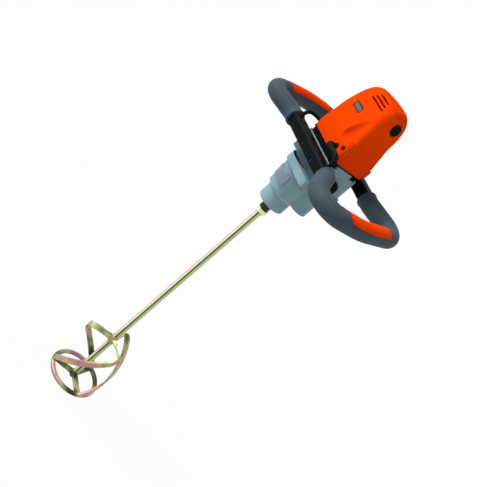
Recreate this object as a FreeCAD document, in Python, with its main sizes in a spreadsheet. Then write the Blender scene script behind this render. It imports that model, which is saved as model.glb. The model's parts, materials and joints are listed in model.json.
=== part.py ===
import FreeCAD, Part
import Sketcher
import math
import os
import re

from FreeCAD import Placement, Rotation, Vector

# Two-handed mixing drill with a helical mixing paddle.
# The spindle axis is Z, the motor is up, the paddle hangs down and the front of the tool faces -Y.
# The origin lies on the spindle axis, at the front end of the nose's plain round wall.

os.makedirs("parts", exist_ok=True)
doc = FreeCAD.newDocument("mixing_drill")

SIZES = {
    # fits
    "press_gap": 0.02,
    "run_gap": 0.06,
    "part_gap": 0.3,
    # paddle
    "paddle_radius": 60,
    "paddle_height": 133,
    "ring_bar": 10,
    "blade_width": 12,
    "blade_thick": 5,
    "blade_bend": 20,
    "blade_wind": 126,
    "blade_phase": 6,
    "hub_radius": 8.6,
    "hub_height": 16,
    "rod_across": 12,
    "rod_length": 575,
    "rod_nub": 9,
    "stud_radius": 7,
    "stud_length": 24,
    "nut_across": 22,
    "nut_height": 8,
    # spindle
    "spindle_reach": 20,
    "spindle_hex": 19,
    "spindle_radius": 10,
    "spindle_shoulder": 12.5,
    "spindle_neck": 6,
    "socket_depth": 26,
    # gear train
    "spindle_teeth": 40,
    "lay_pinion_teeth": 11,
    "final_module": 1.5,
    "lay_wheel_teeth": 46,
    "motor_pinion_teeth": 10,
    "first_module": 1.0,
    "centre_play": 0.15,
    "gear_room": 1.2,
    "pinion_addendum": 1.0,
    "wheel_addendum": 0.6,
    "motor_offset": 20,
    "web_hole": 5,
    "web_place": 19,
    "final_face": 15,
    "first_face": 10,
    "final_gear_base": 54,
    "first_gear_base": 106,
    "lay_base": 36,
    "tail_base": 75,
    "lay_journal": 4,
    "lay_shaft": 6,
    "small_race": 11,
    "small_race_width": 7,
    "nose_race": 21,
    "nose_race_width": 12,
    "tail_race": 14,
    "tail_race_width": 8,
    "seal_width": 7,
    # castings
    "nose_radius": 28.5,
    "nose_length": 26,
    "nose_lip": 2,
    "nose_chamfer": 1.5,
    "barrel_flare": 3.5,
    "barrel_base": 32,
    "cast_wall": 3.5,
    "rear_wall": 9.5,
    "bulge_radius": 22,
    "flange_base": 83,
    "flange_top": 91,
    "plate_top": 99,
    "flange_front": 42,
    "flange_left": 40,
    "flange_round": 10,
    "flange_left_round": 34,
    "pocket_rim": 2.5,
    "pocket_depth": 6,
    "flange_right": 65,
    "case_half": 59,
    "case_front": 22,
    "case_front_round": 7,
    "case_rear_round": 25,
    "case_top": 144,
    "case_roof": 14,
    "screw_radius": 2.5,
    "screw_head": 4.5,
    "screw_head_height": 4.5,
    # motor
    "baffle_height": 12,
    "skirt_height": 25,
    "shoulder_drop": 19,
    "crown_rise": 27,
    "crown_wall": 7,
    "fan_clearance": 5,
    "core_clearance": 11,
    "brush_rise": 22,
    "pod_above_skirt": 21,
    "scoop_rise": 16,
    "label_rise": 18,
    "vent_rise": 5,
    "body_half": 54,
    "body_rear": 66,
    "body_front_round": 9,
    "body_rear_round": 42,
    "crown_half": 33,
    "crown_front": 8,
    "crown_rear": 44,
    "crown_front_round": 20,
    "crown_rear_round": 28,
    "motor_bore": 38.5,
    "crown_bore": 27,
    "core_radius": 20,
    "air_gap": 0.6,
    "core_length": 56,
    "coil_end": 5,
    "motor_shaft": 5,
    "fan_radius": 34,
    "fan_height": 12,
    "fan_blades": 12,
    "commutator_radius": 13,
    "commutator_length": 20,
    "brush_side": 7,
    "holder_radius": 8,
    "cap_radius": 11.5,
    "cap_height": 8,
    "cap_seat": 41.5,
    "lug_radius": 6.5,
    "lug_rise": 4.5,
    "pod_left": 30,
    "pod_right": 57,
    "pod_rise": 4,
    "pod_round": 6,
    "pod_screw_place": 43,
    "scoop_depth": 6,
    "scoop_radius": 18,
    "scoop_length": 65,
    "scoop_place": 22,
    "label_width": 26,
    "label_height": 13,
    "label_place": 15,
    "label_depth": 19.5,
    "vent_height": 3.4,
    "vent_pitch": 7,
    "vent_length": 44,
    "vent_step": 7,
    "vent_place": 7,
    # handles
    "bar_drop": 11,
    "bar_overhang": 19,
    "grip_overhang": 121,
    "bar_screw_drop": 4,
    "lug_half": 9,
    "lug_height": 15,
    "bar_front": 43,
    "bar_rear": 76,
    "bar_rise": 8,
    "bar_depth": 26,
    "bar_height": 26,
    "bar_round": 7,
    "bar_screw_place": 23,
    "screw_shift": -17,
    "bar_screw_depth": 12,
    "bar_recess": 8,
    "grip_radius": 17.5,
    "grip_front": 110,
    "grip_knee": 26,
    "grip_back": 92,
    "pad_thick": 4,
    "pad_width": 33,
    "conduit_radius": 3.75,
    "conduit_sink": 3,
    "trigger_length": 46,
    "trigger_width": 15,
    "trigger_height": 13,
    "trigger_drop": 4,
    "trigger_pin": 2,
    "switch_length": 30,
    "switch_height": 9,
    "lock_radius": 5,
    "lock_height": 7,
    "lock_travel": 2.5,
    # speed selector
    "knob_radius": 13.5,
    "knob_height": 9,
    "knob_level": 115,
    "knob_place": 6,
    "selector_radius": 4,
    "selector_length": 9,
}

# Sizes that follow from the others
WORKED = {
    "baffle_top": "case_top + baffle_height",
    "fan_base": "baffle_top + fan_clearance",
    "core_base": "fan_base + fan_height + core_clearance",
    "brush_level": "core_base + core_length + brush_rise",
    "skirt_top": "baffle_top + skirt_height",
    "body_straight": "core_base + core_length - shoulder_drop",
    "body_top": "brush_level + crown_rise",
    "crown_bore_top": "body_top - crown_wall",
    "pod_top": "skirt_top + pod_above_skirt",
    "pod_screw_level": "skirt_top - 1",
    "scoop_level": "skirt_top + scoop_rise",
    "label_level": "body_straight + label_rise",
    "vent_level": "brush_level + vent_rise",
    "bar_level": "case_top - bar_drop",
    "bar_half": "case_half + bar_overhang",
    "grip_reach": "bar_half + grip_overhang",
}

sheet = doc.addObject("Spreadsheet::Sheet", "Dims")
CELLS = dict(SIZES, **{alias: "=" + formula for alias, formula in WORKED.items()})
for row, (alias, value) in enumerate(CELLS.items(), 1):
    sheet.set("A%d" % row, alias)
    sheet.set("B%d" % row, str(value))
    sheet.setAlias("B%d" % row, alias)
doc.recompute()

WORD = re.compile(r"[A-Za-z_][A-Za-z_0-9]*")
sub_parts = []


def dim(alias):
    return float(sheet.get(alias))


def worked(text):
    """Value of a sum of sheet aliases and numbers."""
    return float(sheet.evalExpression(linked(text)))


def linked(text):
    """The same sum, with each alias pointing at its cell of the sheet."""
    return WORD.sub(lambda m: "Dims." + m.group() if m.group() in CELLS else m.group(), str(text))


def bind(thing, prop, text):
    thing.setExpression(prop, linked(text))


def keep(thing, label):
    """Marks an object as a sub-part that gets its own file."""
    thing.Label = label
    sub_parts.append(thing)
    return thing


def place(thing, x, y, z):
    for axis, text in zip("xyz", (x, y, z)):
        bind(thing, "Placement.Base." + axis, text)
    return thing


# Plain solids
def block(name, x, y, z):
    """Box between pairs of limits along X, Y and Z."""
    box = doc.addObject("Part::Box", name)
    for prop, (low, high) in zip(("Length", "Width", "Height"), (x, y, z)):
        bind(box, prop, "(%s) - (%s)" % (high, low))
    return place(box, x[0], y[0], z[0])


def post(name, radius, low, high, x="0", y="0"):
    """Cylinder along Z between two levels."""
    cylinder = doc.addObject("Part::Cylinder", name)
    bind(cylinder, "Radius", radius)
    bind(cylinder, "Height", "(%s) - (%s)" % (high, low))
    return place(cylinder, x, y, low)


def side_post(name, radius, low, high, y, z):
    """Cylinder along X between two places."""
    cylinder = post(name, radius, low, high)
    cylinder.Placement.Rotation = Rotation(Vector(0, 1, 0), 90)
    return place(cylinder, low, y, z)


def hexagon(name, across, low, high):
    prism = doc.addObject("Part::Prism", name)
    prism.Polygon = 6
    bind(prism, "Circumradius", "(%s) / 2 / cos(30 deg)" % across)
    bind(prism, "Height", "(%s) - (%s)" % (high, low))
    return place(prism, "0", "0", low)


def joined(name, *pieces):
    fusion = doc.addObject("Part::MultiFuse", name)
    fusion.Shapes = list(pieces)
    fusion.Refine = True
    return fusion


def less(name, base, *tools):
    """Base with each tool cut away."""
    cut = doc.addObject("Part::Cut", name)
    cut.Base = base
    cut.Tool = tools[0] if len(tools) == 1 else joined(name + "_tools", *tools)
    cut.Refine = True
    return cut


def ring(name, inner, outer, low, high, x="0", y="0"):
    return less(name, post(name + "_outer", outer, low, high, x, y),
                post(name + "_inner", inner, "(%s) - 1" % low, "(%s) + 1" % high, x, y))


def solid_of(name, shape):
    feature = doc.addObject("Part::Feature", name)
    feature.Shape = shape
    return feature


# Sketches
def sketch(body, name, role="XY_Plane", level="0"):
    drawing = body.newObject("Sketcher::SketchObject", name)
    plane = next(f for f in body.Origin.OriginFeatures if f.Role == role)
    drawing.AttachmentSupport = [(plane, "")]
    drawing.MapMode = "FlatFace"
    bind(drawing, "AttachmentOffset.Base.z", level)
    return drawing


def tie(drawing, text, value, *where):
    """Adds a dimension to a sketch and ties it to the sheet."""
    index = drawing.addConstraint(Sketcher.Constraint(*where, value))
    drawing.setExpression("Constraints[%d]" % index, linked(text))


def outline(drawing, corners):
    """Closed run of straight lines whose corners are tied to the sheet."""
    points = [Vector(worked(x), worked(y), 0) for x, y in corners]
    count = len(points)
    for start, end in zip(points, points[1:] + points[:1]):
        drawing.addGeometry(Part.LineSegment(start, end))
    for i, (x, y) in enumerate(corners):
        drawing.addConstraint(Sketcher.Constraint("Coincident", i, 1, (i - 1) % count, 2))
        tie(drawing, x, points[i].x, "DistanceX", -1, 1, i, 1)
        tie(drawing, y, points[i].y, "DistanceY", -1, 1, i, 1)
    return drawing


def rounded(drawing, x, y, radii):
    """Rectangle between pairs of limits; radii go front left, front right, rear right, rear left."""
    (left, right), (front, rear) = [[worked(t) for t in pair] for pair in (x, y)]
    turns = [worked(r) for r in radii]
    corners = [(left, front, 1, 1), (right, front, -1, 1), (right, rear, -1, -1), (left, rear, 1, -1)]
    for (cx, cy, sx, sy), radius, start in zip(corners, turns, (180, 270, 0, 90)):
        circle = Part.Circle(Vector(cx + sx * radius, cy + sy * radius, 0), Vector(0, 0, 1), radius)
        sweep = (math.radians(start), math.radians(start + 90))
        drawing.addGeometry(Part.ArcOfCircle(circle, *sweep))
    for i in range(4):
        end = drawing.Geometry[i].EndPoint
        drawing.addGeometry(Part.LineSegment(end, drawing.Geometry[(i + 1) % 4].StartPoint))
    for i in range(4):
        drawing.addConstraint(Sketcher.Constraint("Tangent", i, 2, i + 4, 1))
        drawing.addConstraint(Sketcher.Constraint("Tangent", i + 4, 2, (i + 1) % 4, 1))
        drawing.addConstraint(Sketcher.Constraint("Vertical" if i % 2 else "Horizontal", i + 4))
        tie(drawing, radii[i], turns[i], "Radius", i)
    for kind, line, text, value in (("DistanceY", 4, y[0], front), ("DistanceX", 5, x[1], right),
                                    ("DistanceY", 6, y[1], rear), ("DistanceX", 7, x[0], left)):
        tie(drawing, text, value, kind, -1, 1, line, 1)
    return drawing


def new_body(name):
    return doc.addObject("PartDesign::Body", name)


def turned(name, corners, angle="360", role="XZ_Plane"):
    """Solid turned about Z from an outline of (radius, level) corners."""
    body = new_body(name)
    drawing = outline(sketch(body, name + "_profile", role), corners)
    turn = body.newObject("PartDesign::Revolution", name + "_turn")
    turn.Profile = drawing
    turn.ReferenceAxis = (drawing, ["V_Axis"])
    turn.Midplane = angle != "360"
    bind(turn, "Angle", angle)
    return body


def slab(name, x, y, z, radii):
    """Plate with rounded corners between two levels."""
    body = new_body(name)
    drawing = rounded(sketch(body, name + "_plan", level=z[0]), x, y, radii)
    pad = body.newObject("PartDesign::Pad", name + "_pad")
    pad.Profile = drawing
    bind(pad, "Length", "(%s) - (%s)" % (z[1], z[0]))
    return body


# Gears
FINAL = "(final_module * (spindle_teeth + lay_pinion_teeth) / 2 + centre_play)"
FIRST = "(first_module * (lay_wheel_teeth + motor_pinion_teeth) / 2 + centre_play)"
LAY_Y = "((%s^2 - %s^2 + motor_offset^2) / (2 * motor_offset))" % (FINAL, FIRST)
LAY_X = "sqrt(%s^2 - %s^2)" % (FINAL, LAY_Y)
LAY = (LAY_X, LAY_Y)
MOTOR = ("0", "motor_offset")
BIG_TIP = "(final_module * (spindle_teeth / 2 + wheel_addendum))"
LAY_PINION_TIP = "(final_module * (lay_pinion_teeth / 2 + pinion_addendum))"
LAY_WHEEL_TIP = "(first_module * (lay_wheel_teeth / 2 + wheel_addendum))"
MOTOR_PINION_TIP = "(first_module * (motor_pinion_teeth / 2 + pinion_addendum))"
PRESSURE_ANGLE = math.radians(20)
ROOT_DEPTH = 1.25
FLANK_STEPS = 3


def involute(angle):
    return math.tan(angle) - angle


def tooth_flank(teeth, module, addendum):
    """Radii and half widths, as angles, of one flank from its root to its tip."""
    pitch = module * teeth / 2
    base = pitch * math.cos(PRESSURE_ANGLE)
    root = pitch - ROOT_DEPTH * module
    low = max(base, root)
    tip = pitch + addendum * module
    half = math.pi / 2 / teeth + involute(PRESSURE_ANGLE)
    steps = [low + (tip - low) * i / FLANK_STEPS for i in range(FLANK_STEPS + 1)]
    flank = [(radius, half - involute(math.acos(base / radius))) for radius in steps]
    return [(root, flank[0][1])] + flank if root < low else flank


def toothed(teeth, module, addendum, phase, face):
    """Straight-toothed wheel standing on the XY plane, one tooth at the phase angle."""
    flank = tooth_flank(teeth, module, addendum)
    points = []
    for i in range(int(teeth)):
        middle = phase + 2 * math.pi * i / teeth
        for radius, half in [(r, -a) for r, a in flank] + [(r, a) for r, a in reversed(flank)]:
            angle = middle + half
            points.append(Vector(radius * math.cos(angle), radius * math.sin(angle), 0))
    return Part.Face(Part.makePolygon(points + points[:1])).extrude(Vector(0, 0, face))


def meshing_phase(driver_teeth, driver_phase, driven_teeth, heading):
    """Phase of a wheel that meshes with a driver, seen along the line of centres."""
    past = heading - driver_phase
    return heading + math.pi + past * driver_teeth / driven_teeth + math.pi / driven_teeth


lay_place = Vector(worked(LAY_X), worked(LAY_Y), 0)
to_lay = math.atan2(lay_place.y, lay_place.x)
to_motor = math.atan2(dim("motor_offset") - lay_place.y, -lay_place.x)
lay_pinion_phase = meshing_phase(dim("spindle_teeth"), 0, dim("lay_pinion_teeth"), to_lay)
motor_pinion_phase = meshing_phase(dim("lay_wheel_teeth"), 0, dim("motor_pinion_teeth"), to_motor)


def gear_solid(name, teeth, module, addendum, phase, face, x, y, low):
    """Gear as a document object at its place on its shaft."""
    wheel = solid_of(name, toothed(dim(teeth), dim(module), dim(addendum), phase, worked(face)))
    return place(wheel, x, y, low)


# Spindle, its gear and its bearings
FINAL_TOP = "final_gear_base + final_face"
NOSE_RACE_BASE = "seal_width + 1"
NOSE_RACE_TOP = "(%s + nose_race_width)" % NOSE_RACE_BASE
TAIL_TOP = "(tail_base + tail_race_width)"
CIRCLIP = 1.5

spindle_bar = joined(
    "spindle_bar",
    hexagon("spindle_hexagon", "spindle_hex", "-spindle_reach", "-part_gap"),
    post("spindle_front", "spindle_radius", "-2", NOSE_RACE_TOP),
    post("spindle_middle", "spindle_shoulder", NOSE_RACE_TOP, "final_gear_base"),
    post("spindle_seat", "spindle_radius", "final_gear_base", "tail_base - part_gap"),
    post("spindle_tail", "spindle_neck", "final_gear_base", TAIL_TOP))
keep(less("spindle_cut", spindle_bar,
          post("spindle_socket", "stud_radius + press_gap", "-spindle_reach - 1",
               "socket_depth - spindle_reach"),
          ring("circlip_groove", "spindle_radius - 1", "spindle_radius + 2", FINAL_TOP,
               FINAL_TOP + " + %g" % CIRCLIP)),
     "spindle")

spindle_wheel = gear_solid("spindle_wheel", "spindle_teeth", "final_module", "wheel_addendum", 0,
                           "final_face", "0", "0", "final_gear_base")
LIGHTENING_HOLES = 6
web_holes = [post("web_hole_%d" % i, "web_hole", "final_gear_base - 1", FINAL_TOP + " + 1",
                  "web_place * cos(%g deg)" % turn, "web_place * sin(%g deg)" % turn)
             for i, turn in enumerate(range(0, 360, 360 // LIGHTENING_HOLES))]
keep(less("spindle_gear_cut", spindle_wheel, *web_holes,
          post("spindle_gear_bore", "spindle_radius + press_gap", "final_gear_base - 1",
               FINAL_TOP + " + 1")),
     "spindle_gear")
keep(ring("spindle_clip", "spindle_radius - 1 + press_gap", "spindle_radius + 2.2",
          FINAL_TOP + " + press_gap",
          FINAL_TOP + " + %g - press_gap" % CIRCLIP), "spindle_circlip")


def bearing(label, bore, race, low, width, x="0", y="0"):
    """Ball bearing: two races with a shallow channel between them on both faces."""
    high = "(%s + %s)" % (low, width)
    middle = "((%s + %s) / 2)" % (bore, race)
    whole = ring(label + "_whole", "%s + run_gap" % bore, race, low, high, x, y)
    channels = [ring("%s_channel_%d" % (label, i), "%s - 1.2" % middle, "%s + 1.2" % middle, a, b, x, y)
                for i,
                (a, b) in enumerate(((low + " - 1", low + " + 0.8"), (high + " - 0.8", high + " + 1")))]
    return keep(less(label + "_cut", whole, *channels), label)


bearing("spindle_front_bearing", "spindle_radius", "nose_race", NOSE_RACE_BASE, "nose_race_width")
bearing("spindle_rear_bearing", "spindle_neck", "tail_race", "tail_base", "tail_race_width")
keep(ring("seal_ring", "spindle_radius + run_gap", "nose_race", "0.5", NOSE_RACE_BASE + " - press_gap"),
     "shaft_seal")

# Layshaft
ROOF = "(case_top - case_roof)"
LAY_TOP = "(%s + small_race_width)" % ROOF
LAY_RACE_TOP = "(lay_base + small_race_width)"
FIRST_TOP = "first_gear_base + first_face"

lay_pinion = gear_solid("lay_pinion", "lay_pinion_teeth", "final_module", "pinion_addendum",
                        lay_pinion_phase,
                        "final_face + 4", *LAY, "final_gear_base - 2")
keep(joined("layshaft_bar", lay_pinion,
            post("lay_lower", "lay_journal", "lay_base", "final_gear_base", *LAY),
            post("lay_step", "lay_shaft", LAY_RACE_TOP + " + part_gap", "first_gear_base", *LAY),
            post("lay_seat", "lay_journal + 1", "first_gear_base - 1", FIRST_TOP + " + 2", *LAY),
            post("lay_upper", "lay_journal", FIRST_TOP, LAY_TOP, *LAY)), "layshaft")
lay_wheel = gear_solid("lay_wheel", "lay_wheel_teeth", "first_module", "wheel_addendum", 0,
                       "first_face", *LAY, "first_gear_base")
keep(less("lay_wheel_cut", lay_wheel,
          post("lay_wheel_bore", "lay_journal + 1 + press_gap", "first_gear_base - 1", FIRST_TOP + " + 1",
               *LAY),
          ring("lay_wheel_dish", "9", "first_module * lay_wheel_teeth / 2 - 4.5",
               FIRST_TOP + " - 3", FIRST_TOP + " + 1", *LAY)), "layshaft_gear")
bearing("layshaft_lower_bearing", "lay_journal", "small_race", "lay_base", "small_race_width", *LAY)
bearing("layshaft_upper_bearing", "lay_journal", "small_race", ROOF, "small_race_width", *LAY)

# Nose casting: nose, flared barrel, layshaft bulge and flange
CAVITY = "(%s + gear_room)" % BIG_TIP
BARREL_LOW = "(%s + cast_wall)" % CAVITY
BARREL_HIGH = "(%s + barrel_flare)" % BARREL_LOW
LAY_POCKET = "(%s + gear_room)" % LAY_PINION_TIP
WHEEL_POCKET = "(%s + gear_room)" % LAY_WHEEL_TIP
CASE_REAR = "(%s + %s + rear_wall)" % (LAY_Y, WHEEL_POCKET)
FLANGE_X = ("-flange_left", "flange_right")
FLANGE_Y = ("-flange_front", CASE_REAR)
FLANGE_ROUNDS = ("flange_left_round", "flange_round", "case_rear_round", "flange_round")

barrel = turned("barrel", [
    ("0", "-nose_lip"), ("nose_radius - nose_chamfer", "-nose_lip"),
    ("nose_radius", "nose_chamfer - nose_lip"),
    ("nose_radius", "nose_length"), (BARREL_LOW, "barrel_base"), (BARREL_HIGH, "flange_base - 4"),
    (BARREL_HIGH, "flange_top"), ("0", "flange_top")])
bulge = post("bulge", "bulge_radius", "lay_base - 6", "flange_top", *LAY)
flange = slab("flange", FLANGE_X, FLANGE_Y, ("flange_base", "flange_top"), FLANGE_ROUNDS)
SCREW_PLACES = [("flange_right - flange_round", "flange_round - flange_front"),
                ("flange_right - flange_round", LAY_Y),
                ("flange_round - flange_left", CASE_REAR + " - flange_round")]


def at_screws(name, radius, low, high):
    return [post("%s_%d" % (name, i), radius, low, high, x, y) for i, (x, y) in enumerate(SCREW_PLACES)]


SCREW_TIP = "plate_top - 2"
screw_holes = at_screws("flange_hole", "screw_radius + press_gap", "flange_base - 1", SCREW_TIP)
keep(less("nose_casting", joined("nose_blank", barrel, bulge, flange), *screw_holes,
          post("gear_cavity", CAVITY, "barrel_base + cast_wall", "flange_top + 1"),
          post("spindle_way", "spindle_shoulder + 2", "0", "barrel_base + cast_wall + 1"),
          post("nose_race_pocket", "nose_race + press_gap", "-nose_lip - 1", NOSE_RACE_TOP),
          post("lay_pocket", LAY_POCKET, LAY_RACE_TOP, "flange_top + 1", *LAY),
          post("lay_race_pocket", "small_race + press_gap", "lay_base", LAY_RACE_TOP + " + 1", *LAY)),
     "nose_casting")
keep(joined("flange_screw_set",
            *at_screws("flange_shank", "screw_radius", "flange_base - 1", SCREW_TIP + " - part_gap"),
            *at_screws("flange_head", "screw_head", "flange_base - screw_head_height", "flange_base")),
     "flange_screws")

# Nameplate, left bare, on the front of the barrel
PLATE_SPREAD = 62
PLATE_LOW = "barrel_base + 14"
PLATE_HIGH = "flange_base - 12"


def barrel_radius(level, off):
    """Radius of the flared barrel at a level, with an offset."""
    share = "((%s - barrel_base) / (flange_base - 4 - barrel_base))" % level
    return "-(%s + barrel_flare * %s + %s)" % (BARREL_LOW, share, off)


keep(turned("nameplate_strip", [
    (barrel_radius(PLATE_LOW, "press_gap"), PLATE_LOW),
    (barrel_radius(PLATE_HIGH, "press_gap"), PLATE_HIGH),
    (barrel_radius(PLATE_HIGH, "1"), PLATE_HIGH), (barrel_radius(PLATE_LOW, "1"), PLATE_LOW)],
    str(PLATE_SPREAD), "YZ_Plane"), "nameplate")

# Bearing plate between the castings, with a pocket in its front left corner
TAIL_BOSS = "(tail_race + cast_wall)"
pocket = doc.addObject("Part::Common", "corner_pocket")
pocket.Base = post("corner_round", "flange_left_round - pocket_rim", "plate_top - pocket_depth",
                   "plate_top + 1",
                   "flange_left_round - flange_left", "flange_left_round - flange_front")
pocket.Tool = block("corner_limits", ("-flange_left", "flange_right"),
                    ("-flange_front", "-case_front - pocket_rim"),
                    ("flange_top", "plate_top + 2"))
plate = slab("plate", FLANGE_X, FLANGE_Y, ("flange_top", "plate_top"), FLANGE_ROUNDS)
keep(less("bearing_plate_cut",
          joined("plate_blank", plate, post("tail_boss", TAIL_BOSS, "tail_base - 1", "flange_top + 1")),
          *at_screws("plate_hole", "screw_radius + press_gap", "flange_base - 1", SCREW_TIP),
          post("tail_pocket", "tail_race + press_gap", "tail_base - 2", TAIL_TOP),
          post("plate_lay_way", LAY_POCKET, "flange_top - 1", "plate_top + 1", *LAY), pocket),
          "bearing_plate")

# Handle frame: one plane, tilted so that the rear bar sits a little higher
FRAME_Y = "((bar_rear - bar_front) / 2)"
FRAME_Z = "(bar_level + bar_rise / 2)"
TILT = "atan(bar_rise / (bar_front + bar_rear))"
BAR_Y = "(sqrt((bar_front + bar_rear)^2 + bar_rise^2) / 2)"
BAR_TOP = "(bar_height / 2)"


def in_frame(thing, x="0", y="0", z="0", turn="0 deg"):
    """Sets an object at a place of the handle frame, turned about the frame's X."""
    angle = "%s + %s" % (TILT, turn)
    thing.Placement.Rotation = Rotation(Vector(1, 0, 0), worked(angle))
    bind(thing, "Placement.Rotation.Angle", angle)
    return place(thing, x, "%s + (%s) * cos(%s) - (%s) * sin(%s)" % (FRAME_Y, y, TILT, z, TILT),
                 "%s + (%s) * sin(%s) + (%s) * cos(%s)" % (FRAME_Z, y, TILT, z, TILT))


def frame_block(name, x, y, z):
    return in_frame(block(name, x, y, z), x[0], y[0], z[0])


def frame_post(name, radius, low, high, x, y):
    return in_frame(post(name, radius, low, high), x, y, low)


FRONT_SCREWS = ("-bar_screw_place - screw_shift", "bar_screw_place - screw_shift")
REAR_SCREWS = ("-bar_screw_place", "bar_screw_place")
SCREW_SPOTS = [(x, "-") for x in FRONT_SCREWS] + [(x, "") for x in REAR_SCREWS]


def bar_screws(name, radius, near, far):
    """Level cylinders at the bars' four screws, between two distances outwards from a bar's middle."""
    screws = []
    for i, (x, side) in enumerate(SCREW_SPOTS):
        ends = ("%s + %s" % (BAR_Y, near), "%s + %s" % (BAR_Y, far))
        low, high = ends if not side else ["-(%s)" % end for end in reversed(ends)]
        screws.append(in_frame(post("%s_%d" % (name, i), radius, low, high), x, low, "-bar_screw_drop",
                               "-90 deg"))
    return screws


# Gear case: block over the bearing plate, cheeks beside the motor and lugs for the bars
CASE_X = ("-case_half", "case_half")
CASE_Y = ("-case_front", CASE_REAR)
CASE_ROUNDS = ("case_front_round", "case_front_round", "case_rear_round", "case_rear_round")
MOTOR_RACE_BASE = "(%s + 2)" % ROOF
MOTOR_RACE_TOP = "(%s + small_race_width)" % MOTOR_RACE_BASE
CHEEK = 5
CHEEK_HEIGHT = 9

case_block = slab("case_block", CASE_X, CASE_Y, ("plate_top", "case_top"), CASE_ROUNDS)
cheeks = [block("cheek_%d" % i, x, ("8 - case_front", LAY_Y),
                ("case_top - 1", "case_top + %g" % CHEEK_HEIGHT))
          for i,
          x in enumerate((("-case_half", "%g - case_half" % CHEEK),
                          ("case_half - %g" % CHEEK, "case_half")))]
INNER_FACE = "(%s - bar_depth / 2)" % BAR_Y
lugs = [frame_block("bar_lug_%d" % i, (x + " - lug_half", x + " + lug_half"), y,
                    ("2 - lug_height", "2")) for i, (x, y) in enumerate(
    [(x, ("-" + INNER_FACE, "-(%s) - case_front + 10" % FRAME_Y)) for x in FRONT_SCREWS]
    + [(x, ("%s - %s - 10" % (CASE_REAR, FRAME_Y), INNER_FACE)) for x in REAR_SCREWS])]
BAR_SEAT = "bar_depth / 2 - bar_recess"
SCREW_END = "-bar_depth / 2 - bar_screw_depth"
KNOB = ("knob_place", "knob_level")

keep(less("gear_case_cut", joined("case_blank", case_block, *cheeks, *lugs),
          post("wheel_pocket", WHEEL_POCKET, "plate_top - 1", FIRST_TOP + " + gear_room", *LAY),
          post("lay_way", "lay_shaft + gear_room", FIRST_TOP, ROOF, *LAY),
          post("pinion_pocket", "%s + gear_room + 2" % MOTOR_PINION_TIP, "plate_top - 1", MOTOR_RACE_BASE,
               *MOTOR),
          post("lay_upper_pocket", "small_race + press_gap", ROOF + " - 1", LAY_TOP, *LAY),
          post("motor_race_pocket", "small_race + press_gap", MOTOR_RACE_BASE, "case_top + 1", *MOTOR),
          side_post("selector_bore", "selector_radius + run_gap", "case_half - selector_length - 1",
                    "case_half + 1", *KNOB),
          *bar_screws("lug_hole", "screw_radius + press_gap", SCREW_END, "0")), "gear_case")

# Speed selector
knob_grip = block("knob_grip", ("case_half + knob_height - 1", "case_half + knob_height + 5"),
                  ("knob_place - 3.5", "knob_place + 3.5"),
                  ("knob_level - knob_radius + 1", "knob_level + knob_radius - 1"))
keep(joined("speed_knob_solid", knob_grip,
            side_post("knob_disc", "knob_radius", "case_half + part_gap", "case_half + knob_height",
                      *KNOB),
            side_post("selector_shaft", "selector_radius", "case_half - selector_length", "case_half + 1",
                      *KNOB)),
     "speed_knob")

# Baffle plate under the motor, notched for the cheeks
BAFFLE_LIP = 3
baffle_low = slab("baffle_low", ("%g - case_half" % (CHEEK + 0.3), "case_half - %g" % (CHEEK + 0.3)),
                  CASE_Y,
                  ("case_top", "baffle_top"), CASE_ROUNDS)
baffle_high = slab("baffle_high", CASE_X, CASE_Y, ("baffle_top - %g" % BAFFLE_LIP, "baffle_top"),
                   CASE_ROUNDS)
keep(less("baffle_cut", joined("baffle_blank", baffle_low, baffle_high),
          post("baffle_way", "motor_bore - 8", "case_top - 1", "baffle_top + 1", *MOTOR)), "baffle_plate")

# Motor shaft with its pinion, core, windings, commutator and fan
CORE_TOP = "(core_base + core_length)"
COMM_BASE = "(brush_level - commutator_length / 2)"
COMM_TOP = "(brush_level + commutator_length / 2)"
SHAFT_TOP = "(%s + 3 + small_race_width)" % COMM_TOP
CROWN_RACE_BASE = "(%s + 3)" % COMM_TOP
WINDING_RADIUS = "(core_radius - 4)"
WINDING_LENGTH = 7
CORE_SLOTS = 12

motor_pinion = gear_solid("motor_pinion", "motor_pinion_teeth", "first_module", "pinion_addendum",
                          motor_pinion_phase, "first_face + 4", *MOTOR, "first_gear_base - 2")
keep(joined("motor_shaft_bar", motor_pinion,
            post("motor_lower", "lay_journal", "first_gear_base", MOTOR_RACE_TOP + " + 1", *MOTOR),
            post("motor_middle", "motor_shaft", MOTOR_RACE_TOP + " + part_gap", COMM_TOP + " + 2",
                 *MOTOR),
            post("motor_upper", "lay_journal", COMM_TOP, SHAFT_TOP, *MOTOR)), "armature_shaft")


def slots_round(name, radius, reach, count, low, high):
    """Upright round slots spaced evenly about the motor axis."""
    return [post("%s_%d" % (name, i), radius, low, high, "%s * cos(%g deg)" % (reach, 360 * i / count),
                 "motor_offset + %s * sin(%g deg)" % (reach, 360 * i / count)) for i in range(count)]


keep(less("armature_core_cut", post("core_blank", "core_radius", "core_base", CORE_TOP, *MOTOR),
          post("core_bore", "motor_shaft + press_gap", "core_base - 1", CORE_TOP + " + 1", *MOTOR),
          *slots_round("core_slot", "1.6", "(core_radius - 0.8)", CORE_SLOTS, "core_base - 1",
                       CORE_TOP + " + 1")),
     "armature_core")
winding_ends = [ring("winding_%d" % i, "motor_shaft + press_gap", WINDING_RADIUS, low, high, *MOTOR)
                for i, (low, high) in enumerate(((("core_base - %g" % WINDING_LENGTH), "core_base"),
                                                 (CORE_TOP, CORE_TOP + " + %g" % WINDING_LENGTH)))]
windings = doc.addObject("Part::Compound", "windings")
windings.Links = winding_ends
keep(windings, "armature_windings")
keep(ring("commutator_ring", "motor_shaft + press_gap", "commutator_radius", COMM_BASE, COMM_TOP, *MOTOR),
     "commutator")

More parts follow.
